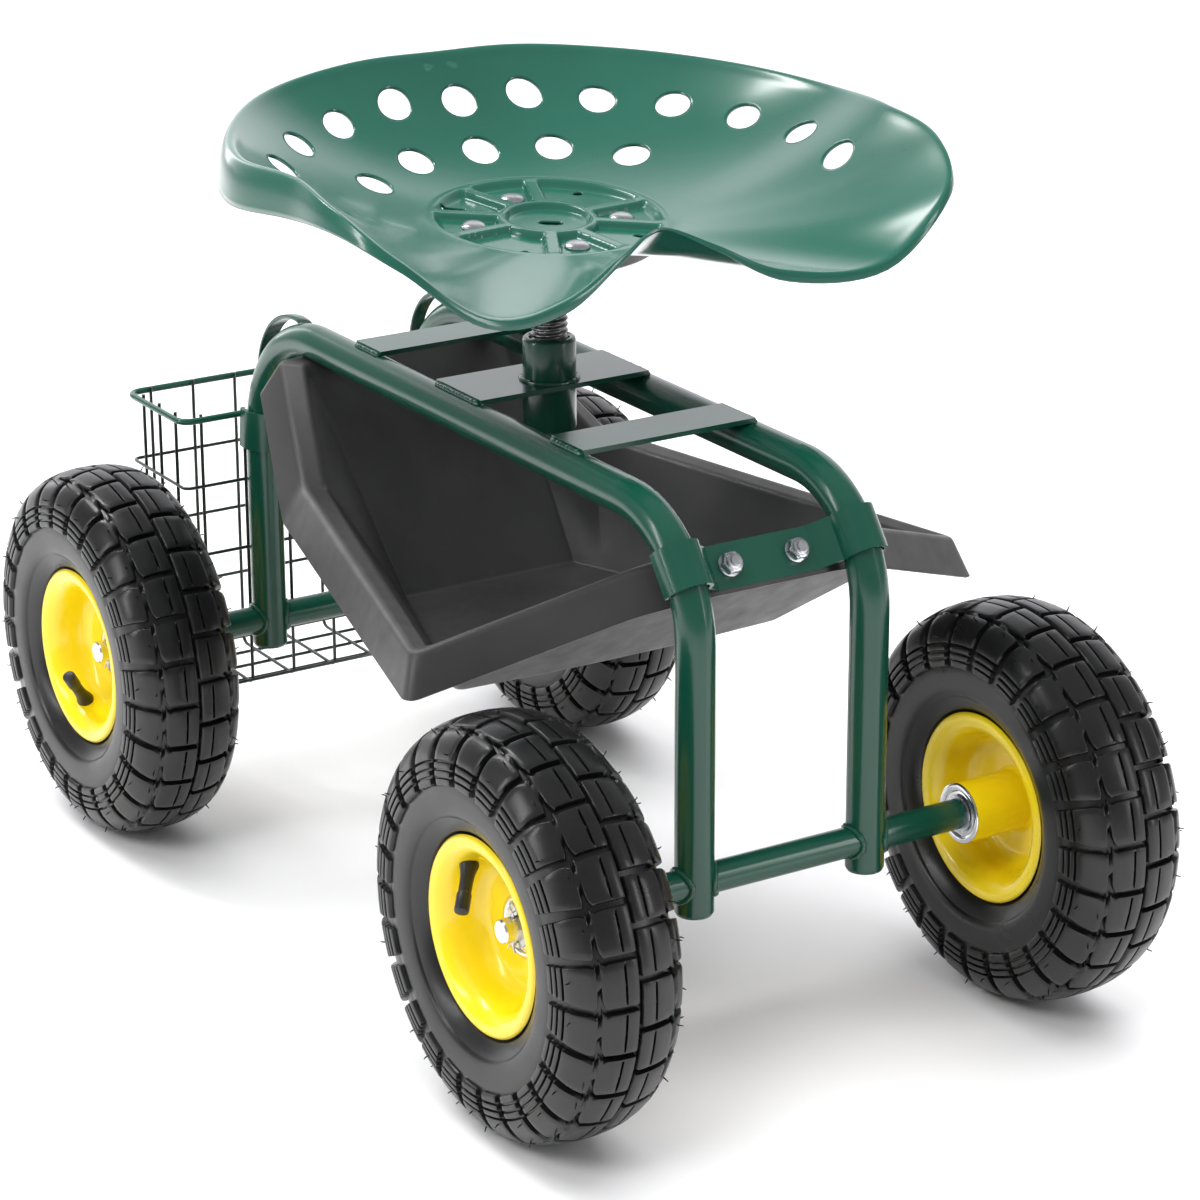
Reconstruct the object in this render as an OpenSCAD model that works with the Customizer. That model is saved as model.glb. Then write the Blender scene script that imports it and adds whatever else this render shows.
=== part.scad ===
// Rolling garden work seat: a tube frame on four pneumatic wheels, with a dished
// metal seat on a height screw, a plastic tool tray and a lift-off wire basket.
// +X is the front, +Z is up, and the origin is on the ground in the middle.

/* [Wheels] */
// Distance from the middle of the cart to each axle
axle_x = 272; // [255:1:285]
// Distance from the middle of the cart to each tyre's middle
wheel_y = 179; // [176:1:190]
// Radius of the tyre
tyre_r = 127; // [125:1:130]
// Half of the tyre's width
tyre_half_w = 40; // [38:0.5:42]
// Radius of the rim's outer edge
rim_r = 60.5; // [60:0.5:61]
// Radius of the wheel hub
hub_r = 19; // [18.5:0.5:20]
// Radius of the axle rod
rod_r = 7.5; // [7.5:0.1:7.5]

/* [Frame] */
// Distance from the middle of the cart to each rail
rail_y = 62; // [60:1:64]
// Height of the rails' straight top
rail_z = 347; // [345:1:352]
// Radius of the rail tube
rail_r = 12; // [12:0.5:12.5]
// Wall of the rail tube
rail_wall = 1.5; // [1:0.1:2]
// Bend radius at the front of each rail
front_bend_r = 72; // [70:1:74]
// Bend radius at the back of each rail
rear_bend_r = 88; // [84:1:90]
// Height of the ends of the legs
leg_end_z = 109; // [105:1:111]
// Radius of the axle tube
axle_tube_r = 9.5; // [9:0.5:10]
// Place of the seat post along the cart
post_x = 8; // [0:1:10]

/* [Seat] */
// Height of the seat's middle above the ground
seat_z = 468; // [460:1:472]
// Way the seat faces, turned from the front
seat_heading = -4; // [-15:1:15]
// Forward slope of the seat
seat_slope = 5; // [0:0.5:8]
// Thickness of the seat's sheet
seat_t = 2; // [1.5:0.1:3]
// Radius of the screw under the seat
screw_r = 12; // [11:0.5:12]

/* [Tray] */
// Height of the tray's floor
tray_floor_z = 201; // [195:1:205]
// Thickness of the tray's wall
tray_t = 2.6; // [2:0.1:3]

/* [Basket] */
// Height of the basket's rim wire
basket_top_z = 273; // [270:1:275]
// Height of the basket's bottom wires
basket_low_z = 71; // [65:1:80]
// Length of the basket across the cart, to the middle of its rim wire
basket_w = 230; // [220:1:240]
// Depth of the basket along the cart, to the middle of its rim wire
basket_d = 86; // [80:1:90]

/* [Hidden] */
$fn = 64;

frame_green = [0.06, 0.27, 0.19];
seat_green = [0.18, 0.42, 0.33];
rim_yellow = [0.93, 0.76, 0.05];
tyre_black = [0.08, 0.08, 0.08];
tray_grey = [0.24, 0.24, 0.25];
zinc = [0.75, 0.76, 0.78];
dark_steel = [0.12, 0.12, 0.13];
wire_dark = [0.06, 0.09, 0.08];

axle_z = tyre_r;
gap = 0.05; // fit between a shaft and its hole

// ---------- helpers ----------

// A ring or washer standing on z = 0
module ring(r_out, r_in, h) {
    difference() {
        cylinder(h = h, r = r_out);
        translate([0, 0, -1]) cylinder(h = h + 2, r = r_in);
    }
}

// A rod along Y, centred on the middle plane
module rod_y(r, length) rotate([90, 0, 0]) cylinder(h = length, r = r, center = true);

module both_sides() {
    children();
    mirror([0, 1, 0]) children();
}

module at_wheel(front, left) {
    translate([front ? axle_x : -axle_x, left ? wheel_y : -wheel_y, axle_z])
        rotate([left ? -90 : 90, 0, 0])
            children();
}

// ---------- rails ----------

front_straight_x = axle_x - front_bend_r;
rear_straight_x = -axle_x + rear_bend_r;
front_bend_z = rail_z - front_bend_r;
rear_bend_z = rail_z - rear_bend_r;

module rail_path(r, low_z) {
    translate([rear_straight_x, 0, rail_z]) rotate([0, 90, 0])
        cylinder(h = front_straight_x - rear_straight_x, r = r);
    translate([front_straight_x, 0, front_bend_z]) rotate([90, 0, 0])
        rotate_extrude(angle = 90) translate([front_bend_r, 0]) circle(r);
    translate([rear_straight_x, 0, rear_bend_z]) rotate([90, 0, 0]) rotate([0, 0, 90])
        rotate_extrude(angle = 90) translate([rear_bend_r, 0]) circle(r);
    translate([axle_x, 0, low_z]) cylinder(h = front_bend_z - low_z, r = r);
    translate([-axle_x, 0, low_z]) cylinder(h = rear_bend_z - low_z, r = r);
}

tray_screw_x = -189.7;
tray_screw_r = 2;

module rail() {
    color(frame_green) difference() {
        translate([0, rail_y, 0]) rail_path(rail_r, leg_end_z);
        translate([0, rail_y, 0]) rail_path(rail_r - rail_wall, leg_end_z - 1);
        for (x = [-axle_x, axle_x])
            translate([x, rail_y, axle_z]) rod_y(axle_tube_r + gap, 40);
        translate([tray_screw_x, rail_y, rail_z - rail_r - 2]) cylinder(h = 6, r = tray_screw_r + gap);
    }
}

module left_rail() rail();
module right_rail() mirror([0, 1, 0]) rail();

module leg_caps() {
    cap_h = 2;
    plug_h = 5;
    color(frame_green) both_sides() for (x = [-axle_x, axle_x]) translate([x, rail_y, leg_end_z - cap_h]) {
        cylinder(h = cap_h, r1 = rail_r - 1, r2 = rail_r);
        cylinder(h = cap_h + plug_h, r = rail_r - rail_wall - gap);
    }
}

// Lugs: short bent straps that bridge over the rear bend of each rail
lug_w = 16;
lug_t = 3;
lug_rise = 9;
lug_from = 104;
lug_to = 152;

module rail_lugs() {
    lug_r = rear_bend_r + rail_r;
    steps = 12;
    bow = function (a) lug_rise * sin(180 * (a - lug_from) / (lug_to - lug_from));
    angles = [for (i = [0:steps]) lug_from + (lug_to - lug_from) * i / steps];
    outer = [for (a = angles) (lug_r + lug_t + bow(a)) * [cos(a), sin(a)]];
    inner = [for (i = [steps:-1:0]) (lug_r + gap + bow(angles[i])) * [cos(angles[i]), sin(angles[i])]];
    color(frame_green) both_sides()
        translate([rear_straight_x, rail_y + 3, rear_bend_z]) rotate([90, 0, 0])
            linear_extrude(height = lug_w) polygon(concat(outer, inner));
}

// ---------- crossbars and post sleeve ----------

bar_t = 3.2;
bar_z = rail_z + rail_r + gap;
front_bar_x = 131;
rear_bar_x = -117;
sleeve_r = 17;
sleeve_low_z = 330;
sleeve_high_z = 390;

module crossbar(x, w) translate([x - w / 2, -rail_y, bar_z]) cube([w, 2 * rail_y, bar_t]);

module front_crossbar() color(frame_green) crossbar(front_bar_x, 37);
module rear_crossbar() color(frame_green) crossbar(rear_bar_x, 33);

module middle_crossbar() {
    color(frame_green) difference() {
        crossbar(0, 56);
        translate([post_x, 0, bar_z - 1]) cylinder(h = bar_t + 2, r = sleeve_r + gap);
    }
}

module post_sleeve() {
    chamfer = 2;
    color(frame_green) translate([post_x, 0, 0]) difference() {
        union() {
            translate([0, 0, sleeve_low_z])
                cylinder(h = sleeve_high_z - sleeve_low_z - chamfer, r = sleeve_r);
            translate([0, 0, sleeve_high_z - chamfer])
                cylinder(h = chamfer, r1 = sleeve_r, r2 = sleeve_r - chamfer);
        }
        translate([0, 0, sleeve_low_z - 1]) cylinder(h = sleeve_high_z - sleeve_low_z + 2, r = screw_r + gap);
    }
}

// ---------- axles ----------

axle_tube_end = 131;
rod_end = wheel_y + 16.5;
bearing_in_y = wheel_y - 46.5; // inner face of the inner bearing
bearing_out_y = wheel_y + 4; // outer face of the outer bearing
washer_r = 12;
inner_washer_t = 1.2;
outer_washer_t = 1.9;
cotter_y = wheel_y + 8.4;
cotter_r = 1.5;

module axle_tube(x) {
    color(frame_green) translate([x, 0, axle_z]) difference() {
        rod_y(axle_tube_r, 2 * axle_tube_end);
        rod_y(rod_r + 0.2, 2 * axle_tube_end + 2);
    }
}

module front_axle_tube() axle_tube(axle_x);
module rear_axle_tube() axle_tube(-axle_x);

module axle_rod(x) {
    chamfer = 1;
    color(zinc) translate([x, 0, axle_z]) difference() {
        union() {
            rod_y(rod_r, 2 * (rod_end - chamfer));
            both_sides() translate([0, rod_end - chamfer, 0]) rotate([-90, 0, 0])
                cylinder(h = chamfer, r1 = rod_r, r2 = rod_r - chamfer);
        }
        for (y = [-cotter_y, cotter_y])
            translate([0, y, 0]) cylinder(h = 40, r = cotter_r + 0.2, center = true);
    }
}

module front_axle_rod() axle_rod(axle_x);
module rear_axle_rod() axle_rod(-axle_x);

module axle_washers() {
    color(zinc) both_sides() for (x = [-axle_x, axle_x]) {
        translate([x, axle_tube_end, axle_z]) rotate([-90, 0, 0]) ring(washer_r, rod_r + 0.1, inner_washer_t);
        translate([x, bearing_out_y + 0.3, axle_z]) rotate([-90, 0, 0])
            ring(washer_r, rod_r + 0.1, outer_washer_t);
    }
}

module cotter_pins() {
    eye_r = 3.2;
    wire_r = 1.2;
    color(zinc) both_sides() for (x = [-axle_x, axle_x]) translate([x, cotter_y, axle_z]) {
        cylinder(h = 23, r = cotter_r, center = true);
        translate([0, 0, 14.5]) rotate([90, 0, 0])
            rotate_extrude() translate([eye_r, 0]) circle(wire_r, $fn = 24);
        translate([0, 0, -11]) rotate([0, 50, 0]) cylinder(h = 6, r = cotter_r * 0.7);
    }
}

// ---------- straps ----------

strap_t = 2.5;
strap_h = 28;
strap_angle = 37; // place of the front strap around the front bends
strap_bolt_y = 23.6;
strap_bolt_r = 3;
strap_mid = 36; // half width of the flat middle
front_plate_n = front_bend_r - 12; // middle of the flat plate, from the bend's centre
rear_strap_z = 268;

// Section of a strap: it wraps the +X half of both tubes, whose centres are at x = 0,
// and its flat middle is at x = plate_x
module strap_section(plate_x, clearance) {
    r_in = rail_r + clearance;
    r_out = r_in + strap_t;
    foot = 5;
    both_sides() {
        translate([0, rail_y]) difference() {
            circle(r_out);
            circle(r_in);
            translate([-r_out - 1, -r_out - 1]) square([r_out + 1, 2 * r_out + 2]);
        }
        translate([-foot, rail_y + r_in]) square([foot + 0.01, strap_t]);
        polygon([
            [0.01, rail_y - r_out], [0.01, rail_y - r_in],
            [plate_x - strap_t / 2, strap_mid + 1], [plate_x - strap_t / 2, strap_mid - 0.5],
            [plate_x + strap_t / 2, strap_mid - 0.5]
        ]);
    }
    translate([plate_x - strap_t / 2, -strap_mid]) square([strap_t, 2 * strap_mid]);
}

// Places its children on the front bends, with +X out of the strap's plate
module on_front_strap() {
    translate([front_straight_x, 0, front_bend_z]) rotate([0, -strap_angle, 0]) children();
}

module front_strap() {
    color(frame_green) on_front_strap() difference() {
        translate([front_bend_r, 0, -strap_h / 2]) linear_extrude(height = strap_h)
            strap_section(front_plate_n - front_bend_r, 0.35);
        for (y = [-strap_bolt_y, strap_bolt_y])
            translate([front_plate_n - 5, y, 0]) rotate([0, 90, 0]) cylinder(h = 10, r = strap_bolt_r + 0.2);
    }
}

// It follows the rear bends, so its clearance takes up their curve over the strap's height
module rear_strap() {
    turn = asin((rear_strap_z - rear_bend_z) / rear_bend_r);
    color(frame_green) translate([rear_straight_x, 0, rear_bend_z]) rotate([0, turn, 0])
        translate([-rear_bend_r, 0, -strap_h / 2]) linear_extrude(height = strap_h)
            strap_section(-13.2, 1.3);
}

strap_washer_r = 7.5;
strap_washer_t = 1.4;
bolt_head_x = front_plate_n - 5.2; // inside of the tray's skirt

module strap_bolts() {
    color(zinc) on_front_strap() both_sides() translate([bolt_head_x, strap_bolt_y, 0]) rotate([0, 90, 0]) {
        translate([0, 0, -1.8]) cylinder(h = 1.8, r1 = 3.6, r2 = 5.5);
        cylinder(h = 16, r = strap_bolt_r);
    }
}

module strap_nuts() {
    color(zinc) on_front_strap() both_sides()
        translate([front_plate_n + strap_t / 2 + gap, strap_bolt_y, 0]) rotate([0, 90, 0]) {
            ring(strap_washer_r, strap_bolt_r + 0.1, strap_washer_t);
            translate([0, 0, strap_washer_t]) difference() {
                cylinder(h = 5.5, r = 5.8, $fn = 6);
                translate([0, 0, -1]) cylinder(h = 8, r = strap_bolt_r + 0.1);
            }
        }
}

// ---------- tray ----------

// Corners of one side of the tray, from the back to the front middle
tray_floor_half = [[-71, 66, 0], [-40, 76.5, 0], [92, 120, 0], [96, 60, 0], [97, 30, 0]];
tray_inner_half = [[-183, 76, 334.3], [-103, 105, 274], [168, 184, 264], [219, 74, 307], [231, 44, 316]];
tray_outer_half = [
    [-196.5, 85, 334.2], [-112, 115, 276], [176, 195, 266], [227, 80, 310], [240.5, 46, 318.5]
];
tray_skirt_half = [[-202, 97, 314], [-114, 128, 253], [184, 204, 241], [241, 84, 288], [256.5, 46, 297]];

whole_ring = function (half)
    concat(half, [for (i = [len(half) - 1:-1:0]) [half[i][0], -half[i][1], half[i][2]]]);
side_of = function (p, q) [p[1] - q[1], q[0] - p[0], 0];
unit = function (v) v / norm(v);
// Moves each corner of a closed ring inwards by d and up by dz
inset = function (ring, d, dz) let (n = len(ring)) [
    for (i = [0:n - 1])
        let (a = unit(side_of(ring[(i + n - 1) % n], ring[i])), b = unit(side_of(ring[i], ring[(i + 1) % n])))
            ring[i] - d * unit(a + b) + [0, 0, dz]
];
at_height = function (ring, z) [for (p = ring) [p[0], p[1], z]];

module tray() {
    floor_top = at_height(whole_ring(tray_floor_half), tray_floor_z);
    inner = whole_ring(tray_inner_half);
    outer = whole_ring(tray_outer_half);
    skirt = whole_ring(tray_skirt_half);
    rings = [
        floor_top, inner, outer, skirt,
        inset(skirt, tray_t, 0.3), inset(outer, tray_t, -tray_t),
        inset(inner, -tray_t, -tray_t), inset(at_height(floor_top, tray_floor_z - tray_t), -tray_t / 2, 0)
    ];
    n = len(floor_top);
    points = [for (r = rings) for (p = r) p];
    walls = [
        for (k = [0:len(rings) - 2]) for (i = [0:n - 1]) let (j = (i + 1) % n) for (half = [0, 1])
            half == 0
                ? [k * n + i, k * n + j, (k + 1) * n + j]
                : [k * n + i, (k + 1) * n + j, (k + 1) * n + i]
    ];
    top = [for (i = [n - 1:-1:0]) i];
    bottom = [for (i = [0:n - 1]) (len(rings) - 1) * n + i];
    color(tray_grey) difference() {
        polyhedron(points, concat([top], walls, [bottom]), convexity = 8);
        both_sides() translate([tray_screw_x, rail_y, 320]) cylinder(h = 15, r = tray_screw_r + 0.1);
        on_front_strap() both_sides() translate([front_plate_n - 9, strap_bolt_y, 0]) rotate([0, 90, 0])
            cylinder(h = 9, r = strap_bolt_r + 0.2);
    }
}

module tray_screws() {
    head_z = 331.4;
    color(zinc) both_sides() translate([tray_screw_x, rail_y, head_z]) {
        translate([0, 0, -2]) cylinder(h = 2, r = 3.6);
        cylinder(h = rail_z - rail_r + 3 - head_z, r = tray_screw_r);
    }
}

// ---------- seat ----------

flange_r = 71;
flange_top_z = seat_z - 7.05;
flange_t = 8;
pivot_r = 8;
seat_bolt_ring = 48;
seat_bolt_r = 4;
seat_bolt_angles = [-9, 74, 177, 255];
screw_low_z = 335;

// The seat and its flange slope forward on the screw
module seat_place() {
    translate([post_x, 0, seat_z]) rotate([0, 0, seat_heading]) rotate([0, seat_slope, 0])
        translate([0, 0, -seat_z]) children();
}

module at_seat_bolts() {
    for (a = seat_bolt_angles) rotate([0, 0, a - seat_heading]) translate([seat_bolt_ring, 0, 0]) children();
}

// Clearances under and over the flange, where it slopes across the screw
flange_low_z = flange_top_z - flange_t - screw_r * sin(seat_slope) - 0.4;
pivot_top_z = flange_top_z - pivot_r * sin(seat_slope) - 0.6;

module seat_screw() {
    color(dark_steel) translate([post_x, 0, 0]) {
        translate([0, 0, screw_low_z]) cylinder(h = flange_low_z - screw_low_z, r = screw_r);
        translate([0, 0, flange_low_z - 1]) cylinder(h = pivot_top_z - flange_low_z + 1, r = pivot_r);
    }
}

module seat_flange() {
    edge = 1.5;
    color(dark_steel) difference() {
        seat_place() difference() {
            union() {
                translate([0, 0, flange_top_z - flange_t])
                    cylinder(h = edge, r1 = flange_r - edge, r2 = flange_r);
                translate([0, 0, flange_top_z - flange_t + edge]) cylinder(h = flange_t - edge, r = flange_r);
            }
            at_seat_bolts() translate([0, 0, flange_top_z - flange_t - 1])
                cylinder(h = flange_t + 2, r = seat_bolt_r + 0.2);
        }
        translate([post_x, 0, flange_top_z - 30]) cylinder(h = 60, r = pivot_r + gap);
    }
}

// Crest of the seat: direction from the seat's front in degrees, distance from the
// post and height above the seat's middle, for one side of the symmetric pan
crest = [
    [0, 143, 37], [12, 158, 24], [24, 184, 4], [36, 228, 9], [47, 249, 47], [58, 236, 66],
    [72, 211, 69], [92, 205, 60], [116, 194, 57], [140, 187, 56], [161, 171, 60], [180, 164, 60]
];
// Width and drop of the rolled lip outside the crest, for the same directions
lip = [
    [1, 1], [1, 1], [1, 1], [1, 1], [3, 4], [6, 12],
    [8, 24], [9, 28], [9, 26], [9, 22], [9, 18], [9, 16]
];

// Smooth curve through a column of the table, with flat ends, by cubic pieces
slope = function (t, v, i) (i == 0 || i == len(t) - 1) ? 0 : (v[i + 1] - v[i - 1]) / (t[i + 1] - t[i - 1]);
smooth = function (t, v, a) let (
    i = max([for (k = [0:len(t) - 2]) if (t[k] <= a) k]),
    h = t[i + 1] - t[i],
    s = (a - t[i]) / h
) (2 * s * s * s - 3 * s * s + 1) * v[i] + (s * s * s - 2 * s * s + s) * h * slope(t, v, i)
    + (3 * s * s - 2 * s * s * s) * v[i + 1] + (s * s * s - s * s) * h * slope(t, v, i + 1);

crest_angles = [for (c = crest) c[0]];
crest_rs = [for (c = crest) c[1]];
crest_zs = [for (c = crest) c[2]];
lip_ws = [for (l = lip) l[0]];
lip_ds = [for (l = lip) l[1]];

recess_r = 72;
recess_depth = 5;

// Height of the pan over its middle at fraction s of the way from the recess to the crest
bowl_z = function (s, z) z * (0.44 * s + 0.34 * s * s + 0.22 * s * s * s);

// Rings of the pan from the middle outwards: each is a list of [r, z] for one direction
pan_profile = function (a) let (
    r = smooth(crest_angles, crest_rs, a),
    z = smooth(crest_angles, crest_zs, a),
    w = smooth(crest_angles, lip_ws, a),
    d = smooth(crest_angles, lip_ds, a),
    r0 = recess_r + 4
) concat(
    [[recess_r / 2, -recess_depth], [recess_r - 2, -recess_depth], [r0, 0]],
    [for (s = [0.2, 0.4, 0.6, 0.8, 0.93]) [r0 + (r - r0) * s, bowl_z(s, z)]],
    [[r + w * 0.1, z], [r + w * 0.7, z - d * 0.3], [r + w, z - d]]
);

pan_steps = 72;
side_angle = function (i) let (a = 360 * i / pan_steps) a <= 180 ? a : 360 - a;
pan_rows = [for (i = [0:pan_steps - 1]) pan_profile(side_angle(i))];
pan_rings = len(pan_rows[0]);

pan_surface = function (k, drop) [
    for (i = [0:pan_steps - 1]) let (a = 360 * i / pan_steps, p = pan_rows[i][k], last = k == pan_rings - 1)
        let (r = p[0] - (k >= pan_rings - 2 ? drop : 0))
            [r * cos(a), r * sin(a), seat_z + p[1] - (last ? 0 : drop)]
];

vent_r = 12;
vent_turn = -2;
// Vent holes: direction from the seat's front, distance from the post, height, lean
upper_vents = [for (i = [-6:6]) [180 + vent_turn + 18.5 * i, 138 + 7 * abs(i), 34 + abs(i), 40]];
lower_vents = [for (i = [-2:2]) [180 + vent_turn + 27 * i, 103 + 4 * abs(i), 10, 20]];

module seat_pan() {
    top_rings = [for (k = [0:pan_rings - 1]) pan_surface(k, 0)];
    low_rings = [for (k = [pan_rings - 1:-1:0]) pan_surface(k, seat_t)];
    rings = concat(top_rings, low_rings);
    n = pan_steps;
    middle = len(rings) * n;
    points = concat(
        [for (r = rings) for (p = r) p],
        [[0, 0, seat_z - recess_depth], [0, 0, seat_z - recess_depth - seat_t]]
    );
    walls = [
        for (k = [0:len(rings) - 2]) for (i = [0:n - 1]) let (j = (i + 1) % n) for (half = [0, 1])
            half == 0
                ? [k * n + i, (k + 1) * n + j, k * n + j]
                : [k * n + i, (k + 1) * n + i, (k + 1) * n + j]
    ];
    top = [for (i = [0:n - 1]) [middle, i, (i + 1) % n]];
    last = (len(rings) - 1) * n;
    bottom = [for (i = [0:n - 1]) [middle + 1, last + (i + 1) % n, last + i]];
    color(seat_green) seat_place() difference() {
        polyhedron(points, concat(walls, top, bottom), convexity = 8);
        at_seat_bolts() translate([0, 0, seat_z - 20]) cylinder(h = 30, r = seat_bolt_r + 0.2);
        for (v = concat(upper_vents, lower_vents))
            rotate([0, 0, v[0]]) translate([v[1], 0, seat_z + v[2]]) rotate([0, -v[3], 0])
                cylinder(h = 40, r = vent_r, center = true);
    }
}

seat_bolt_head_h = 3.5;

module seat_bolts() {
    low_z = flange_top_z - flange_t - 9;
    head_z = seat_z - recess_depth + gap;
    color(zinc) seat_place() at_seat_bolts() {
        translate([0, 0, low_z]) cylinder(h = head_z - low_z, r = seat_bolt_r);
        translate([0, 0, head_z]) cylinder(h = seat_bolt_head_h, r1 = 8, r2 = 6);
    }
}

module seat_nuts() {
    nut_h = 6.5;
    color(zinc) seat_place() at_seat_bolts() translate([0, 0, flange_top_z - flange_t - nut_h - gap])
        difference() {
            cylinder(h = nut_h, r = 7.4, $fn = 6);
            translate([0, 0, -1]) cylinder(h = nut_h + 2, r = seat_bolt_r + 0.1);
        }
}

// ---------- basket ----------

basket_front_x = -axle_x - 18;
basket_x = basket_front_x - basket_d / 2;
rim_wire_r = 2.3;
wire_r = 1.2;
wire_pitch = 33;
row_pitch = 50;
weld = 0.2; // depth to which crossing wires are welded into each other

// A closed rounded rectangle of wire, lying flat
module wire_loop(length_x, length_y, corner, r) {
    for (s = [-1, 1]) {
        translate([s * length_x / 2, 0, 0]) rod_y(r, length_y - 2 * corner);
        translate([0, s * length_y / 2, 0]) rotate([0, 90, 0])
            cylinder(h = length_x - 2 * corner, r = r, center = true);
    }
    for (q = [0:3]) {
        sx = q == 0 || q == 3 ? 1 : -1;
        sy = q < 2 ? 1 : -1;
        translate([sx * (length_x / 2 - corner), sy * (length_y / 2 - corner), 0]) rotate([0, 0, 90 * q])
            rotate_extrude(angle = 90) translate([corner, 0]) circle(r, $fn = 24);
    }
}

module basket_rim() {
    color(frame_green) translate([basket_x, 0, basket_top_z])
        wire_loop(basket_d, basket_w, 10, rim_wire_r, $fn = 24);
}

// A flat grille of wires standing on z = 0, with its uprights on the y = 0 plane and
// its rows welded to their outer side
module grille(columns, pitch, width, height, first_row, rows) {
    for (i = [-columns:columns])
        translate([i * pitch, 0, 0]) cylinder(h = height, r = wire_r);
    for (k = [0:rows - 1])
        translate([0, 2 * wire_r - weld, first_row + k * row_pitch]) rotate([0, 90, 0])
            cylinder(h = width, r = wire_r, center = true);
}

module basket_mesh() {
    inset_d = rim_wire_r + wire_r + gap;
    inner_d = basket_d - 2 * inset_d;
    inner_w = basket_w - 2 * inset_d;
    columns = 3;
    side_pitch = 25;
    wall_low_z = basket_low_z + wire_r + gap;
    wall_h = basket_top_z + 3 - wall_low_z;
    color(wire_dark) translate([basket_x, 0, 0]) {
        // front and back walls
        for (turn = [-90, 90]) rotate([0, 0, turn]) translate([0, inner_d / 2, wall_low_z])
            grille(columns, wire_pitch, inner_w, wall_h, 2 * wire_r, 4, $fn = 16);
        // left and right walls
        for (turn = [0, 180]) rotate([0, 0, turn]) translate([0, inner_w / 2, wall_low_z])
            grille(1, side_pitch, inner_d, wall_h, 2 * wire_r, 4, $fn = 16);
        // bottom
        for (i = [-columns:columns]) translate([0, i * wire_pitch, basket_low_z]) rotate([0, 90, 0])
            cylinder(h = inner_d + 2 * wire_r, r = wire_r, center = true, $fn = 16);
        for (i = [-1:1]) translate([i * side_pitch, 0, basket_low_z - 2 * wire_r + weld])
            rotate([90, 0, 0]) cylinder(h = inner_w + 2 * wire_r, r = wire_r, center = true, $fn = 16);
    }
}

module basket_hooks() {
    hook_y = 25;
    hook_r = 1.6;
    over_z = rear_strap_z + strap_h / 2 + hook_r + 1.7;
    reach = 10.2;
    tip_drop = 11;
    color(frame_green) both_sides() translate([basket_front_x, hook_y, 0], $fn = 24) {
        translate([0, 0, basket_top_z + rim_wire_r])
            cylinder(h = over_z - basket_top_z - rim_wire_r, r = hook_r);
        translate([0, 0, over_z]) sphere(hook_r);
        translate([0, 0, over_z]) rotate([0, 90, 0]) cylinder(h = reach, r = hook_r);
        translate([reach, 0, over_z]) sphere(hook_r);
        translate([reach, 0, over_z - tip_drop]) cylinder(h = tip_drop, r = hook_r);
    }
}

// ---------- wheels ----------

// The profiles below are [radius, distance outwards from the tyre's middle]
rim_bowl = [[36, 2.5], [40.5, 5], [43, 10], [45, 18], [48, 25], [52, 29], [57, 31], [rim_r, 29.8]];
rim_back = [[rim_r, 28.2], [57.3, 29.1], [53.2, 27.4], [50, 24], [47, 17.6], [45, 9.4], [42.6, 3.5], [41, 0]];
mirrored = function (line) [for (i = [len(line) - 1:-1:0]) [line[i][0], -line[i][1]]];

tyre_outer = [
    [52.5, 19], [53.3, 26.8], [57.3, 28.5], [60.6, 27.8], [62, 30], [66, 33.2], [72, 36.2], [80, 38.6],
    [90, tyre_half_w], [100, 39.6], [108, 37.6], [114, 34.6], [119, 30.4], [123, 24],
    [tyre_r - 1.2, 15], [tyre_r, 5]
];
tyre_inner = [
    [119.8, 0], [118.5, 14], [115.5, 23], [110, 29.5], [102, 33.8], [92, 35.2], [82, 34], [72, 30],
    [64, 25], [58, 20]
];

valve_lean = 32; // lean of the valve, outwards from straight to the axle
valve_base_r = 45.4;
valve_base_w = 17.5;
valve_out = 33;
valve_in = 21;

// Places its children on a valve, with +Z towards the cap
module on_valve(turn) {
    rotate([0, 0, turn]) translate([valve_base_r, 0, valve_base_w])
        rotate([0, -90 + valve_lean, 0]) children();
}

// The carcass is open towards the rim, and its two beads sit in the rim's edges
tyre_loop = concat(
    tyre_outer, mirrored(tyre_outer),
    [for (i = [len(tyre_inner) - 1:-1:1]) [tyre_inner[i][0], -tyre_inner[i][1]]], tyre_inner
);

module tyre() {
    color(tyre_black) rotate_extrude($fn = 128) polygon(tyre_loop);
}

module inner_tube() {
    color(tyre_black) rotate_extrude() translate([91, 0]) difference() {
        circle(27);
        circle(25.2);
    }
}

module outer_rim(turn) {
    color(rim_yellow) difference() {
        rotate_extrude() polygon(concat([[hub_r + gap, 0], [hub_r + gap, 2.5]], rim_bowl, rim_back));
        on_valve(turn) cylinder(h = 60, r = 4.3, center = true);
    }
}

module inner_rim() {
    color(rim_yellow) mirror([0, 0, 1])
        rotate_extrude() polygon(concat([[hub_r + gap, 0], [hub_r + gap, 2.5]], rim_bowl, rim_back));
}

hub_in_w = -45;
hub_out_w = 2.5;
bearing_r = 17.45;
bearing_depth = 11;

module hub() {
    length = hub_out_w - hub_in_w;
    color(rim_yellow) translate([0, 0, hub_in_w]) difference() {
        cylinder(h = length, r = hub_r);
        translate([0, 0, -1]) cylinder(h = length + 2, r = 13);
        translate([0, 0, -1]) cylinder(h = bearing_depth + 1, r = bearing_r + gap);
        translate([0, 0, length - bearing_depth]) cylinder(h = bearing_depth + 1, r = bearing_r + gap);
    }
}

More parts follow.
